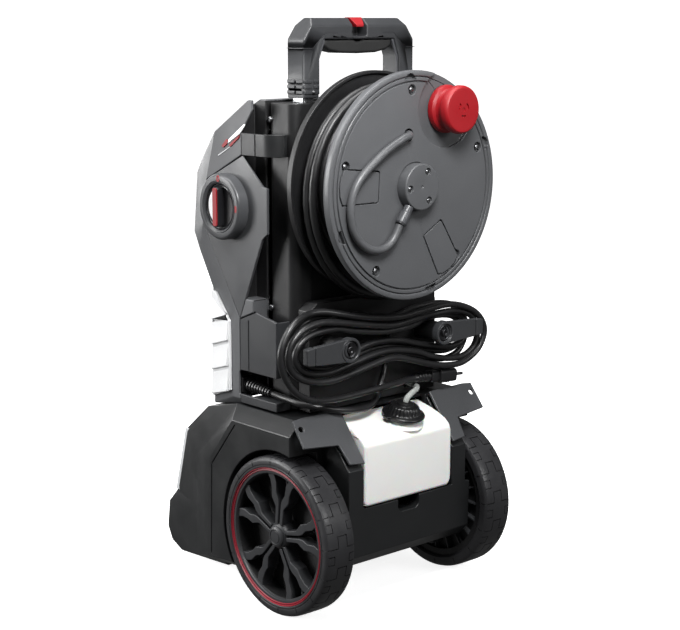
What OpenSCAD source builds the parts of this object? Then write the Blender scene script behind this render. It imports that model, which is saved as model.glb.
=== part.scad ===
// Upright electric pressure washer on two wheels, with a rear hose reel, a
// telescopic handle, a detergent tank and two swivelling hooks for its lead.
// X is across the machine, -Y is its front, +Z is up. The floor is z = 0, and the
// origin is midway between the toe of the base and the face of the crank knob.

/* [Wheels] */
// Outer diameter of each wheel
wheel_d = 220; // [214:2:222]
// Width of each tyre
wheel_w = 50; // [46:1:50]
// Distance over the outer faces of the wheels
wheel_span = 350; // [350:2:358]
// Diameter of the steel axle
axle_d = 14; // [12:1:16]

/* [Housing] */
// Width over the two side cheeks
body_w = 300; // [298:1:302]
// Width of the base over the wheel arches
base_w = 340; // [336:1:344]
// Width of the rear spine
spine_w = 250; // [246:1:252]
// Wall thickness of the mouldings
wall = 3.5; // [3:0.5:4]

/* [Handle] */
// Width over the handle
handle_w = 200; // [196:2:202]
// Height of the handle's top above the floor
handle_top = 797; // [790:1:800]
// How far the handle pulls out
handle_travel = 330; // [280:10:340]

/* [Reel] */
// Diameter of the reel's front flange
reel_d = 304; // [298:2:304]
// Height of the reel's centre
reel_z = 578; // [576:1:582]
// Outer diameter of the high-pressure hose
hose_d = 10.8; // [10:0.2:11]
// Diameter of the crank knob
knob_d = 64; // [58:1:66]

/* [Controls and lead] */
// Diameter of the switch bezel
bezel_d = 90; // [84:1:92]
// Diameter of the mains lead
lead_d = 9; // [8.5:0.1:9.2]

/* [Hidden] */
$fn = 64;
eps = 0.01;
gap = 0.3;

// Wheels and axle
axle_y = 92;
wheel_r = wheel_d / 2;
wheel_out = wheel_span / 2;
wheel_in = wheel_out - wheel_w;
arch_r = 118;
rim_r = 93;
axle_r = axle_d / 2;
run_fit = 0.05;

// Half widths of the housing
body_x = body_w / 2;
base_x = base_w / 2;
spine_x = spine_w / 2;
corner_x = 125;
toe_x = 136;

// Side outlines as [y, z] points. Each form is the hull of a wide and a narrow slab.
upper_wide = [[22, 690], [40, 690], [14, 690], [-60, 645], [-81, 577],
              [-90, 517], [-27, 421], [40, 421]];
upper_narrow = [[22, 690], [8, 690], [-100, 629], [-127, 598], [-136, 582],
                [-145, 497], [-132, 471], [-103, 421], [22, 421]];
waist_wide = [[-27, 421], [-27, 279], [20, 279], [20, 421]];
waist_narrow = [[-103, 421], [-103, 252], [-20, 273], [20, 273], [20, 421]];
base_wide = [[-18, 271], [-116, 176], [-118, 25], [118, 60], [118, 271]];
base_narrow = [[-104, 249], [-158, 205], [-184, 107], [-184, 20], [118, 60],
               [118, 249]];
toe_wide = [[-117, 100], [-118, 25], [-60, 34], [-60, 100]];
toe_narrow = [[-183, 107], [-205, 84], [-210, 43], [-200, 24], [-176, 13],
              [-60, 20], [-60, 100]];
pod_inner = [[-118, 25], [-116, 176], [-18, 271], [119, 271], [119, 45]];
pod_outer = [[-66, 42], [-60, 184], [-4, 253], [119, 253], [119, 60]];
cheek_outline = [[-2, 616], [42, 577], [52, 575], [52, 514], [41, 506],
                 [-9, 393], [-90, 517], [-81.5, 577]];
channel_outline = [[41, 700], [-2, 646], [-2, 421], [60, 421], [60, 700]];

// Telescopic handle
leg_w = 27;
leg_x = handle_w / 2 - leg_w / 2;
leg_front = 35;
leg_back = 69.5;
leg_z = 692;
tube_y = (leg_front + leg_back) / 2;
tube_w = 19;
tube_t = 26;
tube_bottom = 232;
button_travel = 4;

// Hose reel
reel_r = reel_d / 2;
flange_back = 93;
flange_front = 163;
cover_face = 178.5;
drum_r = 80;
reel_shaft_r = 12;
hub_r = 31;
knob_x = -57.5;
knob_z = reel_z + 99.6;
knob_r = knob_d / 2;
hose_r = hose_d / 2;
stub_y = cover_face + hose_r + 0.6;

// Switch
switch_y = -32;
switch_z = 545;
bezel_r = bezel_d / 2;
dial_r = 31;
bezel_out = body_x + 17;

// Cord hooks
hook_x = 88.5;
hook_z = 364;
post_face = 141;
hook_reach = 76;

// Lead: outline centres of the hank and the routes of its two free stretches
hank_back = 104.5;
hank_front = 139.5;
lead_r = lead_d / 2;
gland_y = -10;
lead_points = [
    [135, 44, 293], [136, 62, 292], [136, 80, 291], [134, 97, 289],
    [126, 112, 287], [112, 124, 284], [94, 131, 280], [74, 134, 277],
    [54, 133, 275], [38, 130, 275], [24, 126, 279], [13, 121, 287],
    [4, 117, 298], [-3, 115, 311], [-9, 114, 324], [-14, 114, 334]
];
tail_points = [
    [136, 124, 417], [156, 128, 415], [174, 131, 405], [188, 133, 389],
    [196, 134, 370], [194, 135, 350], [185, 136, 331], [171, 136, 316],
    [152, 136, 305], [130, 136, 299], [106, 136, 297], [83, 136, 297], [60, 136, 298],
    [36, 136, 299], [14, 135, 300], [-8, 132, 300], [-30, 127, 300],
    [-46, 123, 299], [-58, 122, 299]
];
tail_end = [-58, 122, 299];

// Hose stub on the reel's face, as [x, height over the reel's centre]
stub_points = [
    [34, -48], [38, -56], [43, -64], [50, -71], [59, -76], [70, -78],
    [81, -77], [92, -73], [102, -66], [110, -57], [116, -46], [119, -34],
    [120, -21], [118, -8], [113, 4], [106, 15], [97, 25], [86, 34],
    [74, 43], [62, 51], [49, 57], [36, 62], [24, 66]
];
stub_hole = [12, 68];
stub_drop = [[16, stub_y - 1.5, reel_z + 67.5], [11, stub_y - 7, reel_z + 68.5],
             [9, stub_y - 14, reel_z + 69]];

// Detergent tank and its suction tube
tank_x = 82;
tank_back = 172;
tank_z = 150;
cap_pos = [-13, 145, 256];
cap_tilt = -12;
suction_r = 4;
suction_points = [
    [-13, 149.9, 278.2], [-14, 150.4, 281], [-18, 150, 284], [-25, 148, 286.5],
    [-33, 145, 288], [-41, 141, 288.5], [-49, 135, 288.5], [-56, 128, 288],
    [-61, 120, 287], [-65, 112, 287], [-66, 104, 287], [-66, 97, 287]
];

// ---------------------------------------------------------------- helpers

module sweep_x(x0, x1) {
    translate([x0, 0, 0]) rotate([90, 0, 90]) linear_extrude(x1 - x0) children();
}

module sweep_y(y0, y1) {
    translate([0, y1, 0]) rotate([90, 0, 0]) linear_extrude(y1 - y0) children();
}

module sweep_z(z0, z1) {
    translate([0, 0, z0]) linear_extrude(z1 - z0) children();
}

module slab(half, outline, inset = 0) {
    sweep_x(-(half - inset), half - inset) offset(delta = -inset) polygon(outline);
}

module box(lo, hi) {
    translate(lo) cube(hi - lo);
}

module rounded(w, d, r) {
    square([w - 2 * r, d], center = true);
    square([w, d - 2 * r], center = true);
    for (sx = [-1, 1], sy = [-1, 1])
        translate([sx * (w / 2 - r), sy * (d / 2 - r)]) circle(r);
}

module rod_x(x0, x1, y, z, r) {
    translate([x0, y, z]) rotate([0, 90, 0]) cylinder(h = x1 - x0, r = r);
}

module rod_y(y0, y1, x, z, r) {
    translate([x, y0, z]) rotate([-90, 0, 0]) cylinder(h = y1 - y0, r = r);
}

module right_hand() {
    mirror([1, 0, 0]) children();
}

module both_sides() {
    children();
    right_hand() children();
}

// Turned about the reel's axis from [radius, y] points
module reel_turned(profile) {
    translate([0, 0, reel_z]) rotate([-90, 0, 0]) rotate_extrude($fn = 96) polygon(profile);
}

// Turned about the left wheel's axis from [radius, x] points
module wheel_turned(profile) {
    translate([0, axle_y, wheel_r]) rotate([90, 0, 90]) rotate_extrude($fn = 96) polygon(profile);
}

// Tube swept along a list of points, with a ring of corners at each one
function unit(v) = v / norm(v);
function ahead(p, i) = unit(p[min(i + 1, len(p) - 1)] - p[max(i - 1, 0)]);
function side_of(d) = unit(cross(d, abs(d.z) > 0.9 ? [1, 0, 0] : [0, 0, 1]));
function ring(p, i, r, n) =
    let (d = ahead(p, i), u = side_of(d), v = cross(u, d))
    [for (k = [0:n - 1]) p[i] + r * (cos(360 * k / n) * u + sin(360 * k / n) * v)];

module tube_along(p, r, n = 10) {
    last = len(p) - 1;
    skin = [for (i = [0:last - 1], k = [0:n - 1])
        [i * n + k, (i + 1) * n + k, (i + 1) * n + (k + 1) % n, i * n + (k + 1) % n]];
    start_cap = [for (k = [0:n - 1]) k];
    end_cap = [for (k = [n - 1:-1:0]) last * n + k];
    polyhedron(points = [for (i = [0:last]) each ring(p, i, r, n)],
               faces = concat([start_cap], skin, [end_cap]), convexity = 6);
}

// ---------------------------------------------------------------- base

module base_outside() {
    hull() {
        slab(body_x, base_wide);
        slab(toe_x, base_narrow);
    }
    hull() {
        slab(body_x, toe_wide);
        slab(toe_x, toe_narrow);
    }
    both_sides() hull() {
        sweep_x(100, body_x) polygon(pod_inner);
        sweep_x(100, base_x) polygon(pod_outer);
    }
}

module base_room() {
    difference() {
        union() {
            sweep_x(-body_x + 4, body_x - 4)
                polygon([[-110, 172], [-16, 266], [110, 266], [114, 66], [-112, 34]]);
            sweep_x(-toe_x + 4, toe_x - 4)
                polygon([[-16, 267], [-102, 245], [-152, 199], [-179, 104], [-199, 81],
                         [-204, 44], [-174, 20], [-100, 28], [60, 60]]);
        }
        both_sides() rod_x(wheel_in - 7, body_x + 1, axle_y, wheel_r, arch_r + 3);
    }
}

module fascia_outside(extra = 0) {
    sweep_x(-toe_x - 1 - extra, toe_x + 1 + extra)
        polygon([[-145 + extra, 206 + extra], [-159 - extra, 206 + extra],
                 [-186 - extra, 107 - extra], [-170 + extra, 107 - extra]]);
}

module base_shell() {
    color("#333538") difference() {
        union() {
            difference() {
                base_outside();
                base_room();
            }
            both_sides() rod_x(wheel_in - 25, wheel_in - 1, axle_y, wheel_r, 16);
        }
        // wheel arches
        both_sides() rod_x(wheel_in - 3, base_x + 1, axle_y, wheel_r, arch_r);
        // opening up into the column
        box([-112, -92, 247], [112, 70, 280]);
        fascia_outside(gap);
        rod_x(-base_x, base_x, axle_y, wheel_r, axle_r + 0.02);
        // bay for the detergent tank
        box([-tank_x - 1, 108, tank_z - 2], [tank_x + 1, 130, 280]);
    }
}

module front_fascia() {
    color("#b9bbbd") difference() {
        fascia_outside();
        translate([0, 4, -2]) sweep_x(-toe_x + 3, toe_x - 3)
            polygon([[-140, 215], [-159, 205], [-186, 107], [-160, 100]]);
    }
}

module front_feet() {
    color("#1c1c1e") both_sides() intersection() {
        translate([78, -160, 0]) sweep_z(0, 20) rounded(40, 30, 6);
        sweep_x(50, 100) polygon([[-176, 0], [-144, 0], [-144, 14.9], [-176, 12.97]]);
    }
}

// ---------------------------------------------------------------- column

module cover_outside(inset) {
    hull() {
        slab(body_x, upper_wide, inset);
        slab(corner_x, upper_narrow, inset);
    }
    hull() {
        slab(body_x, waist_wide, inset);
        slab(corner_x, waist_narrow, inset);
    }
}

module front_cover() {
    color("#8d8f92") difference() {
        cover_outside(0);
        difference() {
            union() {
                cover_outside(wall);
                box([-corner_x + wall, -99, 262], [corner_x - wall, 60, 480]);
                box([-corner_x + wall, -15, 240], [corner_x - wall, 60, 650]);
                box([-112, -92, 240], [112, 60, 330]);
            }
            both_sides() box([spine_x - 3, -6, 418], [body_x, 60, 700]);
        }
        base_outside();
        // room for the spray gun on each side
        both_sides() {
            sweep_x(spine_x + 1, body_x - wall) polygon([[-2, 421], [60, 421], [60, 700],
                                                       [-2, 700]]);
            sweep_x(spine_x + 1, body_x + 1) polygon(channel_outline);
        }
        both_sides() sweep_x(body_x - 5, body_x + 1) offset(delta = 0.4)
            polygon(cheek_outline);
        // the spine stands behind the cover
        box([-spine_x - 1, 21.5, 240], [spine_x + 1, 60, 700]);
        both_sides() rod_x(100, body_x + 1, switch_y, switch_z, 14);
        // recess for the lead's gland
        box([spine_x - 3, -12, 286], [body_x + 1, 30, 318]);
        right_hand() box([spine_x - 3, -12, 286], [body_x + 1, 30, 318]);
        both_sides() sweep_x(body_x - 5, body_x + 1)
            polygon([[-10, 392], [22, 405], [22, 270], [-10, 270]]);
    }
}

module grille() {
    // stands on the slanted face between the side and the front of the waist
    slant = atan2(-(103 - 27), -(body_x - corner_x));
    translate([body_x, -27, 0]) rotate([0, 0, slant]) difference() {
        sweep_y(gap, 4) polygon([[2, 288], [2, 386], [58, 418], [77, 418], [77, 264]]);
        for (i = [0:2]) translate([0, 0, 42 * i])
            sweep_y(1.5, 5) polygon([[10, 306], [12, 306], [72, 292], [72, 289]]);
    }
}

module grille_left() {
    color("#e6e7e8") grille();
}

module grille_right() {
    color("#e6e7e8") right_hand() grille();
}

module cheek() {
    difference() {
        sweep_x(body_x - 4, body_x) polygon(cheek_outline);
        rod_x(body_x - 5, body_x + 1, switch_y, switch_z, 14);
    }
}

module cheek_left() {
    color("#6f7174") cheek();
}

module cheek_right() {
    color("#6f7174") right_hand() cheek();
}

module side_panel() {
    difference() {
        union() {
            sweep_x(body_x - 4, body_x)
                polygon([[-9, 391], [26, 405], [69, 397], [69, 274], [-9, 274]]);
            box([spine_x + gap, 65, 274], [body_x - 4, 69, 396]);
            box([spine_x + gap, 22, 274], [body_x - 4, 65, 286]);
            box([spine_x + gap, 22, 320], [body_x - 4, 65, 324]);
        }
        // niche that the lead comes out of
        box([spine_x, -12, 286], [body_x + 1, 70, 320]);
    }
}

module side_panel_left() {
    color("#5d5f62") side_panel();
}

module side_panel_right() {
    color("#5d5f62") right_hand() side_panel();
}

module spine_section() {
    translate([0, 49.5]) rounded(spine_w, 55, 14);
}

module rear_spine() {
    color("#2a2b2d") difference() {
        union() {
            sweep_z(274, 686) difference() {
                spine_section();
                // hollow between the two pillars, open to the front
                translate([-66, 21]) square([132, 41]);
                // the wall behind the reel stands back from the pillars
                translate([-94, 68]) square([188, 12]);
                for (s = [-1, 1]) translate([s * leg_x, tube_y]) rounded(23, 30, 4);
            }
            box([-66.5, 40, 674], [66.5, 60, 686]);
            rod_y(50, 80, 0, reel_z, 30);
        }
        rod_y(40, 90, 0, reel_z, reel_shaft_r + 0.02);
        // hollow of each pillar
        both_sides() translate([111.5, 49.5]) sweep_z(273, 682) rounded(19, 46, 6);
    }
}

module tube_guides() {
    color("#1b1c1d") both_sides() translate([leg_x, tube_y]) sweep_z(660, 687) difference() {
        rounded(22.6, 29.6, 4);
        rounded(tube_w + 0.6, tube_t + 0.6, 4);
    }
}

module gun_strap() {
    bend = 24;
    sweep_z(616, 646) difference() {
        union() {
            translate([body_x - 3.2, -1.7]) square([3.2, 43.7]);
            translate([body_x - bend, 42]) circle(bend);
            translate([spine_x + 0.2, 62]) square([6, 4]);
        }
        translate([body_x - bend, 42]) circle(bend - 3.2);
        translate([90, -10]) square([body_x - bend - 90, 90]);
        translate([90, -10]) square([body_x - 3.2 - 90, 52]);
    }
}

module gun_strap_left() {
    color("#77797c") gun_strap();
}

module gun_strap_right() {
    color("#77797c") right_hand() gun_strap();
}

module accent() {
    sweep_x(body_x + 0.1, body_x + 1.6)
        polygon([[-52, 649], [-6, 666], [-32, 640], [-74, 618]]);
}

module accent_left() {
    color("#f2f2f2") accent();
}

module accent_right() {
    color("#f2f2f2") right_hand() accent();
}

module housing_screws() {
    color("#9a9b9d") both_sides() {
        rod_x(spine_x + 0.1, spine_x + 2.5, 30, 664, 4);
        rod_x(spine_x + 0.1, spine_x + 2.5, 30, 410, 4);
    }
}

// ---------------------------------------------------------------- rear

module hook_panel() {
    color("#2f3033") {
        difference() {
            sweep_y(77.2, 100) polygon([[-118, 274], [-118, 412], [-104, 422],
                                        [104, 422], [118, 412], [118, 274]]);
            sweep_y(70, 96.5) polygon([[-114, 278], [-114, 411], [-102, 418],
                                       [102, 418], [114, 411], [114, 278]]);
            for (s = [-1, 1]) rod_y(90, 101, s * hook_x, hook_z, 6);
            box([-73, 90, 282], [-59, 101, 296]);
        }
        both_sides() {
            rod_y(96.5, post_face, hook_x, hook_z, 14);
            rod_y(post_face - 1, post_face + 8, hook_x, hook_z, 4);
        }
    }
}

module cord_hook() {
    difference() {
        union() {
            rod_y(post_face + 0.3, post_face + 11, hook_x, hook_z, 17);
            sweep_y(post_face + 3, post_face + 10)
                polygon([[hook_x, hook_z - 16.5], [hook_x + hook_reach, hook_z - 12],
                         [hook_x + hook_reach, hook_z + 12], [hook_x, hook_z + 16.5]]);
            box([hook_x + hook_reach - 6, post_face + 0.5, hook_z - 12],
                [hook_x + hook_reach, post_face + 5, hook_z + 12]);
        }
        rod_y(post_face - 1, post_face + 8.3, hook_x, hook_z, 4 + run_fit);
        rod_y(post_face + 9, post_face + 12, hook_x, hook_z, 13);
    }
}

module cord_hook_left() {
    color("#5a5c5f") cord_hook();
}

module cord_hook_right() {
    color("#5a5c5f") right_hand() cord_hook();
}

module rear_panel() {
    // U-shaped wall round the tank bay, with a finger notch under the tank
    color("#36383b") difference() {
        union() {
            sweep_x(-wheel_in + 5, wheel_in - 5)
                polygon([[119, 62], [154, 66], [170, 83], [172, 149], [166, 149],
                         [150, 130], [119, 130]]);
            for (s = [-1, 1]) sweep_x(s * 97.5 - 13.5, s * 97.5 + 13.5)
                polygon([[119, 130], [160, 130], [172, 149], [172, 205], [168, 208],
                         [119, 268]]);
        }
        sweep_x(-wheel_in + 9, wheel_in - 9)
            polygon([[118, 66], [152, 70], [165, 84], [166, 127], [118, 127]]);
        for (s = [-1, 1]) sweep_x(s * 97.5 - 10, s * 97.5 + 10)
            polygon([[118, 126], [161, 126], [168, 150], [168, 203], [118, 261]]);
        sweep_y(148, 176) translate([0, 151]) rounded(40, 40, 9);
    }
}

module fender() {
    // flat plate over the back of the wheel, lying on a slope
    slope = atan2(-(276 - 211), 171 - 119.5);
    translate([0, 119.5, 276]) rotate([slope, 0, 0]) difference() {
        translate([0, 0, 0.3]) linear_extrude(4)
            polygon([[84, 3], [150, 1], [base_x - 1, 3], [base_x, 44], [113, 50],
                     [109, 80], [84, 83]]);
        translate([161, 17, -5]) cylinder(h = 15, r = 4);
    }
}

module fender_left() {
    color("#6a6c6f") fender();
}

module fender_right() {
    color("#6a6c6f") right_hand() fender();
}

// ---------------------------------------------------------------- switch

module switch_bezel() {
    color("#77797b") difference() {
        rod_x(body_x + 0.1, bezel_out, switch_y, switch_z, bezel_r);
        rod_x(body_x - 1, bezel_out + 1, switch_y, switch_z, dial_r + 0.6);
    }
}

module switch_knob() {
    color("#1f2022") {
        rod_x(body_x + 1, bezel_out - 2, switch_y, switch_z, dial_r);
        intersection() {
            rod_x(bezel_out - 2.5, bezel_out + 7, switch_y, switch_z, dial_r - 3);
            box([bezel_out - 3, switch_y - 9, switch_z - dial_r],
                [bezel_out + 7, switch_y + 9, switch_z + dial_r]);
        }
        rod_x(body_x - 12, body_x + 1.5, switch_y, switch_z, 5);
    }
}

module switch_core() {
    color("#3c3c40") difference() {
        box([95, switch_y - 22, switch_z - 24], [body_x - 6, switch_y + 22, switch_z + 24]);
        rod_x(body_x - 20, body_x, switch_y, switch_z, 5 + run_fit);
    }
}

// ---------------------------------------------------------------- mains lead

module cord_gland() {
    color("#202124") {
        rod_y(gland_y - 6, gland_y, 135, 297, 11);
        translate([135, gland_y, 297]) rotate([-94, 0, 0])
            cylinder(h = 54, r1 = 8.5, r2 = 5.6);
    }
}

module cord_lead() {
    color("#161617") tube_along(lead_points, lead_r, 8);
}

module hank_outline() {
    translate([131, 363]) circle(51);
    translate([-131, 357]) circle(46);
    polygon([[131, 414], [90, 413], [50, 408], [0, 401], [-60, 401], [-131, 403],
             [-131, 311], [-60, 321], [-10, 331], [20, 331], [60, 322], [98, 314],
             [131, 312]]);
}

module cord_hank() {
    color("#161617") sweep_y(hank_back, hank_front) difference() {
        hank_outline();
        for (s = [-1, 1]) translate([s * hook_x, hook_z]) circle(18);
        translate([-hook_x, hook_z - 12]) square([2 * hook_x, 18]);
    }
}

module cord_tail() {
    color("#161617") tube_along(tail_points, lead_r, 8);
}

module mains_plug() {
    color("#1a1a1c") translate(tail_end) rotate([0, -93, 0]) {
        cylinder(h = 28, r1 = 5.4, r2 = 7.5);
        translate([0, 0, 28]) linear_extrude(12) rounded(16, 19, 5);
        translate([0, 0, 40]) linear_extrude(32) rounded(19, 27, 6);
        for (s = [-1, 1]) translate([0, 7 * s, 72]) cylinder(h = 17, r = 2.4);
    }
}

// ---------------------------------------------------------------- handle

module handle_profile() {
    polygon([[leg_front, leg_z - 5], [leg_back, leg_z - 5], [leg_back, handle_top - 10],
             [leg_back - 10, handle_top], [leg_front + 10, handle_top],
             [leg_front, handle_top - 10]]);
}

module handle_frame() {
    half = handle_w / 2;
    inner = half - leg_w;
    color("#2c2d2f") difference() {
        intersection() {
            sweep_x(-half, half) handle_profile();
            sweep_y(leg_front, leg_back) polygon([
                [-half, leg_z], [-half, handle_top - 28], [-half + 20, handle_top],
                [half - 20, handle_top], [half, handle_top - 28], [half, leg_z],
                [inner, leg_z], [inner, handle_top - 52], [inner - 9, handle_top - 28],
                [9 - inner, handle_top - 28], [-inner, handle_top - 52], [-inner, leg_z]]);
        }
        // sockets for the tubes
        both_sides() translate([leg_x, tube_y]) sweep_z(leg_z - 1, 745)
            rounded(tube_w + 0.2, tube_t + 0.2, 4);
        // grip ribs near the foot of each leg
        both_sides() for (i = [0:2])
            box([half - 1.5, leg_front + 5, leg_z + 7 + 6 * i],
                [half + 1, leg_back - 5, leg_z + 9.5 + 6 * i]);
        // pocket for the release button
        box([-12.6, 49.5, handle_top - 24], [12.6, 71, handle_top + 1]);
    }
}

module handle_grip() {
    color("#19191a") difference() {
        translate([0, tube_y, 0]) sweep_z(handle_top - 45, handle_top - 28.1)
            rounded(124, 28, 8);
        box([-14, 40, handle_top - 31], [14, 71, handle_top]);
    }
}

module handle_tubes() {
    color("#c9cbcd") both_sides() translate([leg_x, tube_y]) sweep_z(tube_bottom, 744)
        difference() {
            rounded(tube_w, tube_t, 4);
            rounded(tube_w - 3, tube_t - 3, 2.5);
        }
}

module release_button() {
    color("#c8202a") intersection() {
        sweep_x(-12, 12) polygon([[50, 781], [69, 781], [69, handle_top - 9],
                                  [59.5, handle_top + 1.2], [50, handle_top + 1.2]]);
        sweep_y(45, 75) polygon([[-8, 775], [8, 775], [12, handle_top + 3],
                                 [-12, handle_top + 3]]);
    }
}

// ---------------------------------------------------------------- reel

module reel_back_flange() {
    color("#242527") reel_turned([[26, flange_back], [150, flange_back], [150, flange_back + 9],
        [146, flange_back + 9], [144, flange_back + 4], [26, flange_back + 4]]);
}

module reel_drum() {
    inner_end = flange_back + 4 + gap;
    color("#2b2c2e") difference() {
        union() {
            reel_turned([[drum_r - 4, inner_end], [drum_r, inner_end],
                         [drum_r, flange_front], [drum_r - 4, flange_front]]);
            reel_turned([[reel_shaft_r + run_fit, flange_back - 8],
                         [24, flange_back - 8], [24, flange_front + 3],
                         [reel_shaft_r + run_fit, flange_front + 3]]);
            reel_turned([[23.5, inner_end], [drum_r - 3, inner_end],
                         [drum_r - 3, inner_end + 4], [23.5, inner_end + 4]]);
        }
        rod_y(flange_front - 8, flange_front + 1, stub_hole.x, reel_z + stub_hole.y, 7);
    }
}

module reel_front_flange() {
    // rim with four short slots in it
    color("#7c7e80") difference() {
        reel_turned([[26, flange_front + gap], [reel_r - 3, flange_front + gap],
                     [reel_r, flange_front + 3], [reel_r, cover_face - 2],
                     [reel_r - 2, cover_face], [144, cover_face],
                     [144, flange_front + 4], [26, flange_front + 4]]);
        for (a = [83, 159, -20, -100]) translate([0, 0, reel_z]) rotate([0, -a, 0])
            box([143, cover_face - 3, -8], [150, cover_face + 1, 8]);
        rod_y(flange_front - 1, flange_front + 6, stub_hole.x, reel_z + stub_hole.y, 8.5);
        rod_y(cover_face - 6, cover_face + 1, knob_x, knob_z, 50);
    }
}

module cover_window(angle, inner, outer, half_in, half_out) {
    translate([0, 0, reel_z]) rotate([0, -angle, 0]) sweep_y(cover_face - 1.2, cover_face + 1)
        polygon([[inner, -half_in], [outer, -half_out], [outer, half_out], [inner, half_in]]);
}

module reel_cover() {
    color("#7c7e80") difference() {
        reel_turned([[0, cover_face - 8], [143.5, cover_face - 8],
                     [143.5, cover_face - 0.5], [0, cover_face - 0.5]]);
        // dished pocket round the crank knob
        rod_y(cover_face - 6, cover_face + 1, knob_x, knob_z, 50);
        cover_window(3, 64, 134, 21, 24);
        cover_window(-120, 66, 136, 20, 23);
        rod_y(cover_face - 9, cover_face + 1, stub_hole.x, reel_z + stub_hole.y, 8.5);
        rod_y(cover_face - 9, cover_face + 1, knob_x, knob_z, 5.02);
    }
}

module reel_hub() {
    color("#77797b") reel_turned([[0, cover_face - 0.4], [hub_r, cover_face - 0.4],
        [hub_r, cover_face + 12.5], [hub_r - 2, cover_face + 14.5], [7, cover_face + 14.5],
        [5, cover_face + 13.5], [0, cover_face + 13.5]]);
}

module reel_axle() {
    color("#b8babc") difference() {
        rod_y(50, flange_front + 2.5, 0, reel_z, reel_shaft_r);
        rod_y(49, flange_front - 10, 0, reel_z, 5);
    }
}

module reel_screws() {
    color("#a8aaad") {
        for (a = [87, 15, -57, -129, 159]) translate([0, 0, reel_z]) rotate([0, -a, 0])
            rod_y(cover_face - 0.4, cover_face + 2.2, 127, 0, 4.4);
        for (a = [60, 180, 300]) translate([0, 0, reel_z]) rotate([0, -a, 0])
            rod_y(cover_face + 14.6, cover_face + 16, 20, 0, 3);
    }
}

module crank_spindle() {
    color("#b8babc") {
        rod_y(cover_face - 8, cover_face + 27, knob_x, knob_z, 5);
    }
}

module crank_knob() {
    color("#c31c26") difference() {
        translate([knob_x, 0, knob_z]) rotate([-90, 0, 0]) rotate_extrude($fn = 96)
            polygon([[0, 173.2], [knob_r - 2, 173.2], [knob_r, 175.2], [knob_r, 180],
                     [knob_r - 2, 182], [22, 184], [21, 190], [22, 194],
                     [knob_r - 4, 196], [knob_r - 2, 198], [knob_r - 2, 207],
                     [knob_r - 5, 210], [0, 210]]);
        rod_y(170, cover_face + 27.3, knob_x, knob_z, 5 + run_fit);
    }
}

module hose_sleeve() {
    color("#4a4b4e") translate([0, stub_y + 1.5, reel_z]) rotate([0, 54, 0])
        rod_x(hub_r + 0.3, 58, 0, 0, 7.8);
}

module hose_stub() {
    run = [for (q = stub_points) [q.x, stub_y, reel_z + q.y]];
    color("#27282a") tube_along(concat(run, stub_drop), hose_r, 10);
}

module hose_coil() {
    // wound evenly round the drum, with its outer turns hanging slack
    color("#27282a") difference() {
        union() {
            reel_turned([[drum_r + gap, flange_back + 4 + 2 * gap],
                [drum_r + 50, flange_back + 4 + 2 * gap], [drum_r + 50, flange_front - gap],
                [drum_r + gap, flange_front - gap]]);
            sweep_y(104, 156) hull() {
                translate([0, reel_z]) circle(drum_r + 50);
                translate([8, reel_z - 30]) circle(drum_r + 50);
            }
        }
        rod_y(103, 164, 0, reel_z, drum_r + gap);
    }
}

module hose_end() {
    // quick connector at the hose's free end, tucked against the winding
    color("#3b3c3f") translate([0, 0, reel_z]) rotate([0, -170, 0]) {
        translate([139.5, 130, -30]) cylinder(h = 40, r = 8.6);
        translate([139.5, 130, 10]) cylinder(h = 16, r = 6.5);
    }
}

// ---------------------------------------------------------------- wheels

module tyre() {
    half = wheel_w / 2;
    mid = wheel_out - half;
    wheel_turned([[rim_r + 0.2, mid - half + 2], [rim_r + 3, mid - half],
        [wheel_r - 6, mid - half], [wheel_r - 1.5, mid - half + 5], [wheel_r, mid - half + 12],
        [wheel_r, mid + half - 12], [wheel_r - 1.5, mid + half - 5], [wheel_r - 6, mid + half],
        [rim_r + 3, mid + half], [rim_r + 0.2, mid + half - 2]]);
}

module tyre_left() {
    color("#2b2c2e") tyre();
}

module tyre_right() {
    color("#2b2c2e") right_hand() tyre();
}

module spoke() {
    // forked spoke, as [distance from the hub, offset]
    polygon([[10, -6], [44, -5], [86, -24], [88, -15], [58, 0],
             [88, 15], [86, 24], [44, 5], [10, 6]]);
}

module rim() {
    hub_bore = axle_r + run_fit;
    difference() {
        union() {
            wheel_turned([[85, wheel_out - 44], [rim_r, wheel_out - 46], [rim_r, wheel_out - 2.2],
                          [89, wheel_out - 2.2], [85, wheel_out - 6]]);
            wheel_turned([[19, wheel_out - 34], [86, wheel_out - 34],
                          [86, wheel_out - 30], [19, wheel_out - 30]]);
            wheel_turned([[hub_bore, wheel_in - 1], [20, wheel_in - 1],
                          [20, wheel_out - 12], [15, wheel_out - 5], [hub_bore, wheel_out - 5]]);
            for (i = [0:4]) translate([0, axle_y, wheel_r]) rotate([72 * i + 8, 0, 0])
                sweep_x(wheel_out - 16, wheel_out - 7) spoke();
        }
        rod_x(wheel_in - 5, wheel_out, axle_y, wheel_r, hub_bore);
    }
    // cap over the end of the axle
    rod_x(wheel_out - 4.9, wheel_out - 1, axle_y, wheel_r, 14);
}

module rim_left() {
    color("#3a3b3e") rim();
}

module rim_right() {
    color("#3a3b3e") right_hand() rim();
}

module axle() {
    color("#b0b2b5") rod_x(-wheel_out + 5.3, wheel_out - 5.3, axle_y, wheel_r, axle_r);
}

// ---------------------------------------------------------------- detergent

module tank_outline() {
    polygon([[109, tank_z + gap], [tank_back, tank_z + gap], [tank_back, 228],
             [168, 239], [158, 247], [146, 252.5], [136, 256], [120, 262], [109, 265.5]]);
}

module tank_front_view() {
    // seen from behind, with rounded shoulders
    polygon([[-tank_x, tank_z], [tank_x, tank_z], [tank_x, 238], [77, 249], [67, 258],
             [50, 264], [30, 267], [-30, 267], [-50, 264], [-67, 258], [-77, 249],
             [-tank_x, 238]]);
}

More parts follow.
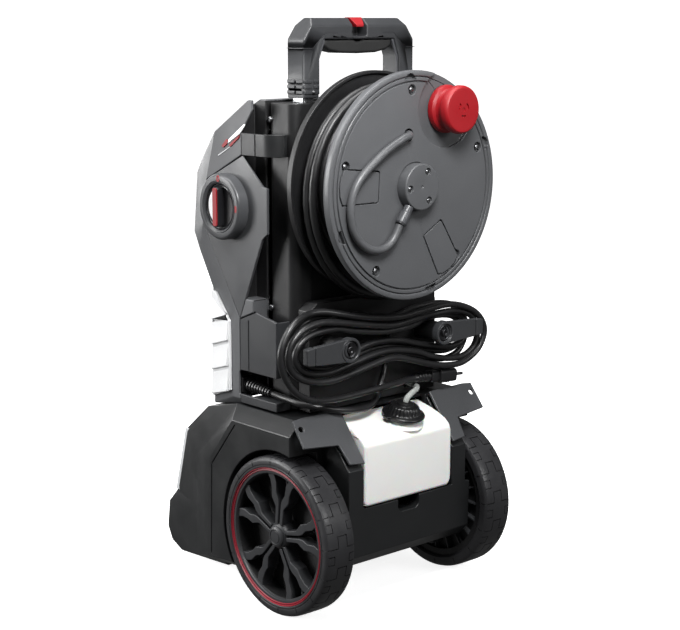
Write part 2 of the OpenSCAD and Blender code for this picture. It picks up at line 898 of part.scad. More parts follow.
module detergent_tank() {
    color("#f1f1ee") difference() {
        union() {
            intersection() {
                sweep_x(-tank_x, tank_x) tank_outline();
                sweep_y(100, 180) tank_front_view();
            }
            translate(cap_pos) rotate([cap_tilt, 0, 0]) translate([0, 0, -6])
                cylinder(h = 15, r = 18);
        }
        intersection() {
            sweep_x(-tank_x + 3, tank_x - 3) offset(delta = -3) tank_outline();
            sweep_y(100, 180) offset(delta = -3) tank_front_view();
        }
        translate(cap_pos) rotate([cap_tilt, 0, 0]) translate([0, 0, -20])
            cylinder(h = 40, r = 14);
    }
}

module tank_cap() {
    color("#1d1d1f") translate(cap_pos) rotate([cap_tilt, 0, 0]) difference() {
        union() {
            translate([0, 0, 2]) cylinder(h = 4.5, r = 30);
            translate([0, 0, 6]) cylinder(h = 11, r1 = 23, r2 = 18);
            translate([0, 0, 17]) cylinder(h = 4, r1 = 12, r2 = 9);
        }
        translate([0, 0, 1]) cylinder(h = 8.3, r = 18.3);
    }
}

module suction_tube() {
    color("#dfe3e6") tube_along(suction_points, suction_r, 8);
}

// ---------------------------------------------------------------- inside

module motor() {
    color("#8a5a2c") translate([0, -42, 0]) difference() {
        union() {
            translate([0, 0, 340]) cylinder(h = 150, r = 50);
            translate([0, 0, 330]) cylinder(h = 10, r = 46);
        }
        translate([0, 0, 320]) cylinder(h = 180, r = 26);
    }
}

module motor_rotor() {
    color("#6d6f73") translate([0, -42, 0]) {
        translate([0, 0, 350]) cylinder(h = 130, r = 25);
        translate([0, 0, 300.3]) cylinder(h = 210, r = 7);
        translate([0, 0, 500]) cylinder(h = 3, r = 42);
        for (i = [0:7]) rotate([0, 0, 45 * i])
            translate([12, -1, 502]) cube([28, 2, 10]);
    }
}

module pump() {
    color("#94969a") translate([0, -42, 0]) difference() {
        union() {
            translate([0, 0, 262]) cylinder(h = 66, r = 44);
            translate([0, 0, 215]) cylinder(h = 47, r = 36);
            translate([-40, -34, 150]) cube([80, 68, 65]);
            for (a = [0, 120, 240]) rotate([0, 0, a]) translate([22, 0, 140])
                cylinder(h = 12, r = 11);
        }
        translate([0, 0, 300]) cylinder(h = 40, r = 7 + run_fit);
        translate([0, 0, 322]) cylinder(h = 40, r = 27);
    }
}

module water_inlet() {
    color("#c9a24a") right_hand() translate([135, 0, 302]) rotate([-90, 0, 0]) {
        translate([0, 0, -16]) cylinder(h = 18, r = 11);
        translate([0, 0, 2]) cylinder(h = 22, r = 7.5);
        translate([0, 0, 24]) cylinder(h = 5, r = 8.8);
        translate([0, 0, 29]) cylinder(h = 9, r = 6.5);
    }
}

// ---------------------------------------------------------------- assembly

base_shell();
front_fascia();
front_cover();
grille_left();
grille_right();
cheek_left();
cheek_right();
side_panel_left();
side_panel_right();
rear_spine();
gun_strap_left();
gun_strap_right();
hook_panel();
rear_panel();
fender_left();
fender_right();
accent_left();
accent_right();
front_feet();
housing_screws();
switch_bezel();
switch_knob();
switch_core();
cord_hook_left();
cord_hook_right();
cord_gland();
cord_lead();
cord_hank();
cord_tail();
mains_plug();
handle_frame();
handle_grip();
handle_tubes();
release_button();
tube_guides();
reel_back_flange();
reel_drum();
reel_front_flange();
reel_cover();
reel_hub();
reel_axle();
reel_screws();
crank_spindle();
crank_knob();
hose_sleeve();
hose_stub();
hose_coil();
hose_end();
tyre_left();
tyre_right();
rim_left();
rim_right();
axle();
detergent_tank();
tank_cap();
suction_tube();
motor();
motor_rotor();
pump();
water_inlet();
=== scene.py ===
import math

import bmesh
import bpy
from mathutils import Matrix, Vector


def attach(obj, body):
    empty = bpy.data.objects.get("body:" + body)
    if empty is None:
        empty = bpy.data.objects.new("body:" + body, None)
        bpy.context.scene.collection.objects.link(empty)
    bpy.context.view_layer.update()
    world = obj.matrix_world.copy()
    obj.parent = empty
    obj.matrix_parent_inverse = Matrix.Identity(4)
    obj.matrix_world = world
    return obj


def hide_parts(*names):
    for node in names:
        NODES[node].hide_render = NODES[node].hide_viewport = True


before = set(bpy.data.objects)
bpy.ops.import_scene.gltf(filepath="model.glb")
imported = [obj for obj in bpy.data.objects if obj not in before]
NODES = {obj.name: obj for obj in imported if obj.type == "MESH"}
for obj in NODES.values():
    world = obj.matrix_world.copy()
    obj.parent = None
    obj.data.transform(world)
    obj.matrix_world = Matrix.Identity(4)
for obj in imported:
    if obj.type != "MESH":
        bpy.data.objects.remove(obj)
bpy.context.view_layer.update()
MM = 0.001

# Places shared by several pieces, in millimetres in the CAD frame.
REEL_Z = 578
AXLE_Y = 92
WHEEL_Z = 110
COVER = 178.5
KNOB = (-57.5, 677.6)
POCKET_R = 52
STUB_HOLE = (12, 646)
FACE_SCREWS = (87, 15, -57, -129, 159)
HUB_SCREWS = (116, -4, 236)
HOSE_R = 5.4
LEAD_R = 4.5
TYRE_IN, TYRE_OUT = 125.0, 175.0
TREAD_BLOCKS = 16
SPOKES = 5
RIBS = 20
SWITCH = (-32, 545)
CHEEK_X = 150.1
HOOK_X = 88.5
HOOK_Z = 364


# ---- materials


def linear(level):
    c = level / 255
    return c / 12.92 if c <= 0.04045 else ((c + 0.055) / 1.055) ** 2.4


def rgb(r, g, b):
    return (linear(r), linear(g), linear(b), 1.0)


def shade(color, factor):
    return tuple(min(1.0, c * factor) for c in color[:3]) + (1.0,)


class Shader:
    """A node tree with short names for the nodes that most materials use."""

    def __init__(self, name):
        self.mat = bpy.data.materials.new(name)
        self.mat.use_nodes = True
        self.tree = self.mat.node_tree
        self.tree.nodes.clear()
        out = self.node("OutputMaterial")
        self.bsdf = self.node("BsdfPrincipled")
        self.put(out.inputs[0], self.bsdf.outputs[0])
        self.coord = self.node("TexCoord").outputs["Object"]

    def put(self, socket, value):
        if isinstance(value, bpy.types.NodeSocket):
            self.tree.links.new(value, socket)
        else:
            socket.default_value = value

    def fill(self, node, sockets):
        """Sets or links sockets by name, with an underscore for each space."""
        for name, value in sockets.items():
            self.put(node.inputs[name.replace("_", " ")], value)

    def node(self, kind, **sockets):
        node = self.tree.nodes.new("ShaderNode" + kind)
        self.fill(node, sockets)
        return node

    def set(self, **sockets):
        self.fill(self.bsdf, sockets)

    def noise(self, scale, detail=3, rough=0.55, vector=None):
        return self.node("TexNoise", Scale=scale, Detail=detail, Roughness=rough,
                         Vector=vector or self.coord).outputs["Fac"]

    def spread(self, value, low, high, start=0.3, end=0.7):
        return self.node("MapRange", From_Min=start, From_Max=end, To_Min=low, To_Max=high,
                         Value=value).outputs[0]

    def mix(self, factor, a, b):
        node = self.node("Mix")
        node.data_type = "RGBA"
        for index, value in ((0, factor), (6, a), (7, b)):
            self.put(node.inputs[index], value)
        return node.outputs[2]

    def bump(self, height, strength, distance):
        node = self.node("Bump", Strength=strength, Distance=distance, Height=height)
        self.set(Normal=node.outputs[0])


def plastic(name, color, rough=0.45, grain=0.3, vary=0.10, edge_wear_and_highlight=0.25, coat=0.0):
    """Moulded plastic: cloudy colour, a fine spark grain and slightly paler edges, partly edge wear
    and partly painted highlight.
    """
    s = Shader(name)
    cloud = s.noise(7, 4)
    fine = s.noise(540, 2)
    base = s.mix(s.spread(cloud, 0, 1), shade(color, 1 - vary), shade(color, 1 + vary))
    base = s.mix(s.spread(fine, 0, 0.35, 0.35, 0.75), base, shade(color, 1.35))
    # paler edges from pointiness: partly edge wear, partly a painted highlight along the edges
    edge = s.spread(s.node("NewGeometry").outputs["Pointiness"], 0, edge_wear_and_highlight, 0.515, 0.60)
    s.set(Base_Color=s.mix(edge, base, shade(color, 2.0)),
          Roughness=s.spread(s.noise(23, 5), rough - 0.07, rough + 0.07),
          Specular_IOR_Level=0.5)
    if coat:
        s.set(Coat_Weight=coat, Coat_Roughness=0.12)
    s.bump(s.noise(1620, 2), grain, 0.00022)
    return s.mat


def rubber(name, color, rough=0.62, grain=1300):
    s = Shader(name)
    cloud = s.noise(11, 5)
    base = s.mix(s.spread(cloud, 0, 1), shade(color, 0.82), shade(color, 1.2))
    scuff = s.noise(60, 6, 0.7)
    s.set(Base_Color=s.mix(s.spread(scuff, 0, 0.3, 0.58, 0.75), base, shade(color, 2.2)),
          Roughness=s.spread(s.noise(35, 4), rough - 0.1, rough + 0.1),
          Specular_IOR_Level=0.5)
    s.bump(s.noise(grain), 0.25, 0.0002)
    return s.mat


def metal(name, color, rough=0.28, along=(900, 900, 12)):
    """Metal with brush marks, drawn out along the axis where the scale is small."""
    s = Shader(name)
    stretched = s.node("Mapping", Scale=along, Vector=s.coord).outputs[0]
    brushed = s.noise(1.0, 4, 0.6, stretched)
    s.set(Base_Color=s.mix(s.spread(brushed, 0, 1), shade(color, 0.86), shade(color, 1.08)),
          Metallic=1.0, Roughness=s.spread(brushed, rough - 0.06, rough + 0.1))
    s.bump(brushed, 0.12, 0.0001)
    return s.mat


def blown(name, color):
    """Blow-moulded tank plastic, slightly waxy, with a soft orange peel."""
    s = Shader(name)
    s.set(Base_Color=s.mix(s.spread(s.noise(9), 0, 1), shade(color, 0.955), color),
          Roughness=s.spread(s.noise(40), 0.3, 0.42), Subsurface_Weight=0.25,
          Subsurface_Scale=0.004)
    s.bump(s.noise(160), 0.18, 0.0006)
    return s.mat


def clear(name, color):
    s = Shader(name)
    streak = s.noise(90)
    s.set(Base_Color=s.mix(s.spread(streak, 0, 1), shade(color, 0.9), color),
          Roughness=s.spread(streak, 0.12, 0.25), Transmission_Weight=0.45, IOR=1.4)
    s.bump(streak, 0.1, 0.0003)
    return s.mat


# kind, name, colour in 0 to 255, and the rest of what the kind takes
RECIPES = (
    (plastic, "base_plastic", (26, 27, 28), 0.38),
    (plastic, "cover_plastic", (80, 81, 83), 0.46),
    (plastic, "side_plastic", (46, 47, 49), 0.4, 0.45),
    (plastic, "strap_plastic", (26, 27, 28), 0.42),
    (plastic, "spine_plastic", (22, 22, 23), 0.45),
    (plastic, "light_plastic", (200, 202, 204), 0.4, 0.2),
    (plastic, "grille_plastic", (228, 229, 230), 0.38, 0.2, 0.05),
    (plastic, "accent_paint", (240, 240, 240), 0.3, 0.1, 0.03, 0, 0.5),
    (rubber, "feet_rubber", (28, 28, 28)),
    (metal, "screw_steel", (150, 151, 153), 0.3),
    (metal, "dark_steel", (74, 74, 76), 0.35),
    (plastic, "switch_black", (26, 26, 28), 0.3, 0.2, 0.1, 0.25, 0.3),
    (plastic, "switch_body", (60, 60, 64), 0.5),
    (plastic, "bezel_plastic", (64, 65, 67), 0.36),
    (plastic, "hook_plastic", (50, 51, 53), 0.42),
    (rubber, "cord_black", (28, 28, 29), 0.36),
    (plastic, "plug_black", (24, 24, 25), 0.34, 0.25),
    (plastic, "handle_plastic", (44, 45, 47), 0.4),
    (rubber, "grip_rubber", (22, 22, 22)),
    (metal, "tube_aluminium", (214, 216, 219), 0.24),
    (plastic, "red_plastic", (134, 5, 16), 0.5, 0.15, 0.06, 0.1),
    (plastic, "reel_black", (22, 22, 23), 0.42),
    (plastic, "reel_grey", (78, 79, 81), 0.36, 0.35),
    (metal, "axle_steel", (176, 178, 181), 0.25),
    (rubber, "hose_rubber", (24, 24, 25), 0.42, 500),
    (rubber, "stub_rubber", (78, 79, 81), 0.4, 500),
    # a darker copy of the rim plastic for the recessed barrel and plate: painted shade
    (plastic, "rim_dark", (20, 20, 21), 0.5),
    (plastic, "ring_red", (118, 20, 34), 0.45, 0.3),
    (plastic, "fitting_plastic", (62, 63, 66), 0.4),
    (rubber, "tyre", (40, 40, 42), 0.42),
    (plastic, "rim_plastic", (44, 45, 47), 0.4),
    (blown, "tank_white", (246, 246, 243)),
    (plastic, "cap_black", (18, 18, 19), 0.3, 0.2, 0.1, 0.25, 0.2),
    (clear, "clear_tube", (214, 218, 214)),
    (metal, "motor_iron", (110, 96, 84), 0.45),
    (metal, "pump_alloy", (164, 166, 170), 0.4, (300, 300, 300)),
    (metal, "brass", (206, 168, 92), 0.3, (300, 300, 300)),
)
MATS = {name: kind(name, rgb(*color), *rest) for kind, name, color, *rest in RECIPES}


# ---- mesh helpers


def add(name, data):
    obj = bpy.data.objects.new(name, data)
    bpy.context.scene.collection.objects.link(obj)
    return obj


def build(name, bm):
    bmesh.ops.recalc_face_normals(bm, faces=bm.faces[:])
    mesh = bpy.data.meshes.new(name)
    bm.to_mesh(mesh)
    bm.free()
    return add(name, mesh)


def place(axis, u, v, w):
    if axis == "x":
        return Vector((w, u, v)) * MM
    if axis == "y":
        return Vector((u, w, v)) * MM
    return Vector((u, v, w)) * MM


def loft(name, *ends):
    """A solid between two rings of as many points."""
    bm = bmesh.new()
    low, high = [[bm.verts.new(point) for point in end] for end in ends]
    bm.faces.new(low[::-1])
    bm.faces.new(high)
    for i in range(len(low)):
        j = (i + 1) % len(low)
        bm.faces.new((low[i], low[j], high[j], high[i]))
    return build(name, bm)


def prism(name, outline, axis, a, b):
    """An outline in the plane across axis, drawn out from a to b along it."""
    return loft(name, *[[place(axis, u, v, w) for u, v in outline] for w in (a, b)])


def rect(u0, v0, u1, v1):
    return [(u0, v0), (u1, v0), (u1, v1), (u0, v1)]


def block(name, lo, hi, s=1):
    """A box between two corners, or its mirror image on the right side when s is -1."""
    x0, x1 = sorted((s * lo[0], s * hi[0]))
    return prism(name, rect(x0, lo[1], x1, hi[1]), "z", lo[2], hi[2])


def lathe(name, profile, axis, centre, segments=96, closed=False, shape=None):
    """A profile of (radius, place along the axis) turned about the axis through centre."""
    bm = bmesh.new()
    rings = []
    for k, (r, h) in enumerate(profile):
        if r < 1e-6:
            rings.append([bm.verts.new(place(axis, centre[0], centre[1], h))] * segments)
            continue
        ring = []
        for i in range(segments):
            t = math.tau * i / segments
            rr, hh = (r, h) if shape is None else shape(k, t, r, h)
            ring.append(bm.verts.new(place(axis, *spot(centre, rr, t), hh)))
        rings.append(ring)
    pairs = list(zip(rings, rings[1:]))
    if closed:
        pairs.append((rings[-1], rings[0]))
    for p, q in pairs:
        for i in range(segments):
            j = (i + 1) % segments
            corners = []
            for v in (p[i], p[j], q[j], q[i]):
                if v not in corners:
                    corners.append(v)
            if len(corners) > 2:
                bm.faces.new(corners)
    return build(name, bm)


def bake(obj):
    graph = bpy.context.evaluated_depsgraph_get()
    mesh = bpy.data.meshes.new_from_object(obj.evaluated_get(graph))
    obj.modifiers.clear()
    obj.data = mesh
    return obj


def combine(obj, others, how, crossing=False):
    """Booleans the others into obj and removes them. crossing is for a self-crossing mesh."""
    for other in others:
        mod = obj.modifiers.new("cut", "BOOLEAN")
        mod.operation = how
        mod.solver = "EXACT"
        mod.use_self = crossing
        mod.object = other
    bake(obj)
    for other in others:
        bpy.data.objects.remove(other)
    return obj


def cut(obj, *others):
    return combine(obj, others, "DIFFERENCE")


def keep(obj, *others):
    return combine(obj, others, "INTERSECT")


def join(name, *objs):
    """One object from several, keeping their materials."""
    bm = bmesh.new()
    mats = []
    for obj in objs:
        start = len(bm.faces)
        moved = obj.data.copy()
        moved.transform(obj.matrix_world)
        bm.from_mesh(moved)
        bm.faces.ensure_lookup_table()
        mat = obj.data.materials[0] if obj.data.materials else None
        if mat not in mats:
            mats.append(mat)
        for face in bm.faces[start:]:
            face.material_index = mats.index(mat)
    mesh = bpy.data.meshes.new(name)
    bm.to_mesh(mesh)
    bm.free()
    for mat in mats:
        mesh.materials.append(mat)
    for obj in objs:
        bpy.data.objects.remove(obj)
    return add(name, mesh)


def turned(obj, matrix):
    obj.data.transform(matrix)
    return obj


def about(axis, centre, degrees):
    """Rotation about a line through centre along axis, in millimetres."""
    c = Vector(centre) * MM
    return (Matrix.Translation(c) @ Matrix.Rotation(math.radians(degrees), 4, axis)
            @ Matrix.Translation(-c))


def mirrored(obj, name):
    mesh = obj.data.copy()
    mesh.transform(Matrix.Scale(-1, 4, (1, 0, 0)))
    mesh.flip_normals()
    return add(name, mesh)


def flatten(obj, degrees=0.3, weld=0.0):
    """Joins the facets of each flat face, so that a cut in it leaves no stray shading."""
    bm = bmesh.new()
    bm.from_mesh(obj.data)
    if weld:
        bmesh.ops.remove_doubles(bm, verts=bm.verts[:], dist=weld)
    bmesh.ops.dissolve_limit(bm, angle_limit=math.radians(degrees), verts=bm.verts[:],
                             edges=bm.edges[:])
    bm.to_mesh(obj.data)
    bm.free()
    return obj


def shell(node):
    """A copy of a CAD node with its flat faces whole again, ready for bevels and cuts."""
    mesh = NODES[node].data.copy()
    mesh.materials.clear()
    return flatten(add(node + "_form", mesh), 0.6, 2e-6)


def bevel(obj, width=1.2, segments=3, angle=28):
    mod = obj.modifiers.new("bevel", "BEVEL")
    mod.width = width * MM
    mod.segments = segments
    mod.limit_method = "ANGLE"
    mod.angle_limit = math.radians(angle)
    mod.use_clamp_overlap = False
    mod.miter_outer = "MITER_ARC" if segments > 1 else "MITER_SHARP"
    return bake(obj)


def paint(obj, mat):
    obj.data.materials.clear()
    obj.data.materials.append(MATS[mat])
    return obj


def smooth(obj, angle=38):
    if obj.type != "MESH":
        return obj
    obj.data.polygons.foreach_set("use_smooth", [True] * len(obj.data.polygons))
    obj.data.set_sharp_from_angle(angle=math.radians(angle))
    mod = obj.modifiers.new("normals", "WEIGHTED_NORMAL")
    mod.keep_sharp = True
    return obj


def fit(obj, body, mat, stands_for=(), angle=38):
    """Finishes a piece: its material, smooth shading, body and the CAD nodes it stands for."""
    if mat:
        paint(obj, mat)
    smooth(obj, angle)
    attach(obj, body)
    if stands_for:
        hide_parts(*stands_for)
    return obj


def curve_through(points, steps):
    """Points in millimetres along a smooth line through the given ones."""
    pts = [Vector(p) for p in points]
    ends = [pts[0] * 2 - pts[1]] + pts + [pts[-1] * 2 - pts[-2]]
    line = []
    for i in range(1, len(ends) - 2):
        a, b, c, d = ends[i - 1:i + 3]
        for k in range(steps):
            t = k / steps
            line.append(0.5 * ((2 * b) + (c - a) * t + (2 * a - 5 * b + 4 * c - d) * t * t
                               + (3 * b - a - 3 * c + d) * t ** 3))
    line.append(pts[-1])
    return line


def rope(name, line, radius, mat):
    """A round cord along a line of points in millimetres."""
    data = bpy.data.curves.new(name, "CURVE")
    data.dimensions = "3D"
    data.bevel_depth = radius * MM
    data.bevel_resolution = 5
    data.use_fill_caps = True
    spline = data.splines.new("POLY")
    spline.points.add(len(line) - 1)
    for point, p in zip(spline.points, line):
        point.co = (p[0] * MM, p[1] * MM, p[2] * MM, 1)
    spline.use_smooth = True
    data.materials.append(MATS[mat])
    return add(name, data)


def rounded_outline(points, radius, steps=5):
    """The outline with its corners rounded. radius is one number or one for each corner."""
    n = len(points)
    radii = [radius] * n if isinstance(radius, (int, float)) else radius
    out = []
    for i in range(n):
        p = Vector(points[i])
        a = Vector(points[i - 1]) - p
        b = Vector(points[(i + 1) % n]) - p
        r = radii[i]
        if r <= 0:
            out.append((p.x, p.y))
            continue
        angle = a.angle(b)
        reach = min(r / math.tan(angle / 2), a.length * 0.49, b.length * 0.49)
        start, end = p + a.normalized() * reach, p + b.normalized() * reach
        for k in range(steps + 1):
            t = k / steps
            q = start * (1 - t) ** 2 + p * 2 * t * (1 - t) + end * t * t
            out.append((q.x, q.y))
    return out


def spot(centre, r, a):
    """The point at radius r and angle a, in radians, round a centre."""
    return centre[0] + r * math.cos(a), centre[1] + r * math.sin(a)


def circle(centre, r, n=48, tall=None):
    """Points round a circle, or round an ellipse when its height differs."""
    turn = [math.tau * i / n for i in range(n)]
    return [(centre[0] + r * math.cos(a), centre[1] + (tall or r) * math.sin(a)) for a in turn]


def screw(name, axis, u, v, w, r=4.2, sign=1):
    """A pan-head screw with a cross recess, its head standing up from w along the axis."""
    head = lathe(name, [(0, w - sign * 2), (r, w - sign * 2), (r, w + sign * 0.6),
                        (r * 0.86, w + sign * 1.4), (r * 0.5, w + sign * 1.9), (0, w + sign * 2)],
                 axis, (u, v), 32)
    arm, half = r * 0.62, r * 0.13
    lo, hi = sorted((w + sign * 0.7, w + sign * 3))
    for du, dv in ((arm, half), (half, arm)):
        cut(head, prism("cross", rect(u - du, v - dv, u + du, v + dv), axis, lo, hi))
    return paint(head, "screw_steel")


# ---- housing


def dress(node, body, mat, width):
    """A CAD node with bevelled edges, in its own place."""
    return fit(bevel(shell(node), width), body, mat, [node])


def housing():
    base = shell("base_shell")
    # parting line round each wheel pod
    cutters = []
    line = [(-56, 48), (-52, 181), (2, 247)]
    for s in (1, -1):
        for (y0, z0), (y1, z1) in zip(line, line[1:]):
            d = Vector((y1 - y0, z1 - z0)).normalized()
            n = Vector((-d.y, d.x)) * 0.5
            cutters.append(prism("groove", [(y0 + n.x, z0 + n.y), (y0 - n.x, z0 - n.y),
                                            (y1 - n.x, z1 - n.y), (y1 + n.x, z1 + n.y)],
                                 "x", *sorted((s * 168.6, s * 171))))
    cut(base, *cutters)
    bevel(base, 1.2)
    fit(base, "machine", "base_plastic", ["base_shell"], angle=14)
    dress("front_fascia", "machine", "light_plastic", 0.8)

    cover = paint(bevel(shell("front_cover"), 1.5), "cover_plastic")
    # the cover's inner channel walls take the dark spine plastic: painted shade in the channel
    # behind the reel
    cover.data.materials.append(MATS["spine_plastic"])
    for face in cover.data.polygons:
        x, y, z = (c / MM for c in face.center)
        inside = abs(x) < 148.6 and y > -3.2 and z > 396 and not (y < 30 and z > 684)
        face.material_index = 1 if inside and abs(face.normal.x) + abs(face.normal.y) > 0.5 else 0
    fit(cover, "machine", None, ["front_cover"])

    for side, s in (("left", 1), ("right", -1)):
        grille = paint(bevel(shell("grille_" + side), 0.7), "grille_plastic")
        # the louvres stand along the slanted front corner of the housing
        slant = math.atan2(-76, -25)
        turn = Matrix.Translation(Vector((150, -27, 0)) * MM) @ Matrix.Rotation(slant, 4, "Z")
        louvres = [grille]
        for low in (268, 304, 340, 376):
            ends = []
            for x in (5.5, 71.5):
                lower = low + 18 - (x - 5.5) * 0.27
                upper = min(lower + 31, 384 + x * 0.4)
                ends.append([Vector((x, d, h)) * MM for d, h in
                             ((3.4, lower), (7.6, lower), (7.8, lower + 1.6), (4.4, upper),
                              (3.4, upper))])
            blade = turned(bevel(loft("louvre", *ends), 0.6, 2), turn)
            if s < 0:
                flipped = mirrored(blade, "louvre")
                bpy.data.objects.remove(blade)
                blade = flipped
            louvres.append(paint(blade, "grille_plastic"))
        fit(join("grille_louvres_" + side, *louvres), "machine", None, ["grille_" + side])

        cheek = shell("cheek_" + side)
        cut(cheek, prism("scoop", [(s * 150.5, 577), (s * 147.2, 618), (s * 152, 618),
                                   (s * 152, 577)], "y", -90, 90))
        paint(bevel(cheek, 1.0), "bezel_plastic")
        fit(cheek, "machine", None, ["cheek_" + side])

        panel = shell("side_panel_" + side)
        cut(panel, block("crease", (149.2, 9, 321), (152, 10, 392), s))
        fit(bevel(panel, 1.0), "machine", "side_plastic", ["side_panel_" + side])

        strap = shell("gun_strap_" + side)
        cut(strap, block("crease", (149.3, 27, 610), (152, 28.2, 650), s))
        fit(bevel(strap, 0.9), "machine", "strap_plastic", ["gun_strap_" + side])

        # slanted accent bars on the cheek: outline, height, bevel and its steps, material
        bars = []
        for outline, height, width, steps, mat in (
                ([(-28, 636), (6, 658), (9, 657), (-3, 645), (-30, 630)], 1.2, 0.4, 3,
                 "accent_paint"),
                ([(-44, 626), (-33, 636), (-29, 634), (-32, 629), (-40, 624)], 1.3, 0.3, 3,
                 "red_plastic"),
                ([(-28, 628), (-4, 643), (-6, 638.5), (-24, 626)], 1.3, 0.3, 3, "red_plastic"),
                ([(-52, 612), (-28, 624), (-14, 632), (-28, 625.4), (-52, 613.6)], 0.7, 0.2, 1,
                 "light_plastic")):
            bar = prism("bar", outline, "x", s * CHEEK_X, s * (CHEEK_X + height))
            bars.append(paint(bevel(bar, width, steps), mat))
        fit(join("accent_mark_" + side, *bars), "machine", None, ["accent_" + side])

        fender = paint(bevel(shell("fender_" + side), 1.2), "bezel_plastic")
        fit(fender, "machine", None, ["fender_" + side])

    heads = [screw("head", "x", y, z, s * 126.2, 4.2, s) for s in (1, -1)
             for y, z in ((30, 664), (30, 410))]
    fit(join("side_screws", *heads), "machine", None, ["housing_screws"])

    for node, mat, width in (("rear_spine", "spine_plastic", 1.0),
                             ("tube_guides", "spine_plastic", 0.6),
                             ("hook_panel", "spine_plastic", 1.1),
                             ("rear_panel", "base_plastic", 1.3),
                             ("front_feet", "feet_rubber", 1.5)):
        dress(node, "machine", mat, width)


def switch():
    y, z = SWITCH
    ring = lathe("bezel", [(31.7, 150.2), (45, 150.2), (45, 163.5), (43.2, 166.2), (41, 167),
                           (36, 167), (35.2, 166.2), (34.4, 167), (33, 166.6), (31.7, 165)],
                 "x", (y, z), 128, closed=True)
    fit(ring, "machine", "bezel_plastic", ["switch_bezel"])
    top = (y, z + 38.4)
    zero = prism("zero", circle(top, 3.4, 24, 4.6), "x", 166.6, 167.5)
    cut(zero, prism("hole", circle(top, 1.3, 24, 2.5), "x", 166, 168))
    one = prism("one", rect(y + 36.4, z - 4.5, y + 40, z + 4.5), "x", 166.6, 167.5)
    for mark in (zero, one):
        paint(bevel(mark, 0.2, 1), "red_plastic")
    fit(join("dial_marks", zero, one), "machine", None, ())

    dish = lathe("dish", [(0, 138), (5, 138), (5, 151), (31, 151), (31, 160), (30.2, 162.5),
                          (28.6, 163.6), (27.5, 162.4), (25, 161.8), (0, 161.8)],
                 "x", (y, z))
    paint(dish, "switch_black")
    grip = prism("grip", rounded_outline(rect(y - 5.6, z - 27, y + 5.6, z + 27), 4), "x", 160,
                 172.4)
    paint(bevel(grip, 1.6), "switch_black")
    stripe = prism("stripe", rounded_outline(rect(y - 4.6, z - 26, y + 4.6, z + 26), 3.4), "x",
                   171, 173.8)
    paint(bevel(stripe, 0.7), "red_plastic")
    arc = [math.radians(110 + 7 * k) for k in range(21)]
    half = prism("half", [spot(SWITCH, 27, a) for a in arc], "x", 161, 163.2)
    paint(bevel(half, 0.4), "accent_paint")
    bright = lathe("bright", [(29.9, 162.6), (31, 161.2), (31, 163), (30.4, 163.8)], "x", (y, z),
                   closed=True)
    paint(bright, "screw_steel")
    knob = join("dial_knob", dish, grip, stripe, half, bright)
    fit(knob, "switch_knob", None, ["switch_knob"])


def hook(side, s):
    cx, cz = s * HOOK_X, HOOK_Z
    arm = prism("arm", rounded_outline(
        [(cx, cz - 16), (s * 150, cz - 12.6), (s * 150, cz + 12.6), (cx, cz + 16)],
        [0, 2, 2, 0]), "y", 143.6, 151)
    keep_out = prism("well", circle((cx, cz), 13, 64), "y", 149, 156)
    rim = lathe("rim", [(0, 141.5), (17, 141.5), (17, 150.6), (16, 152), (13.6, 152),
                        (12.8, 151), (12.8, 148.2), (0, 148.2)], "y", (cx, cz), 72)
    cut(arm, keep_out, prism("seat", circle((cx, cz), 4.6, 32), "y", 140, 155))
    bevel(arm, 1.4)
    lip = prism("lip", rounded_outline(
        [(s * 151, cz - 12.4), (s * 164.5, cz - 10.6), (s * 164.5, cz + 10.6),
         (s * 151, cz + 12.4)], 2.2), "y", 141.2, 151.4)
    bevel(lip, 1.3)
    post = lathe("post", [(0, 147.6), (11, 147.6), (11.6, 148.8), (10, 149.6), (8.6, 148.7),
                          (5.5, 148.7), (5.2, 150.4), (3.8, 150.9), (2.2, 149.6), (0, 149.6)],
                 "y", (cx, cz), 48)
    for piece in (arm, rim, lip):
        paint(piece, "hook_plastic")
    paint(post, "dark_steel")
    fit(join("hook_arm_" + side, arm, rim, lip, post), "hook_" + side, None,
        ["cord_hook_" + side])


# ---- handle


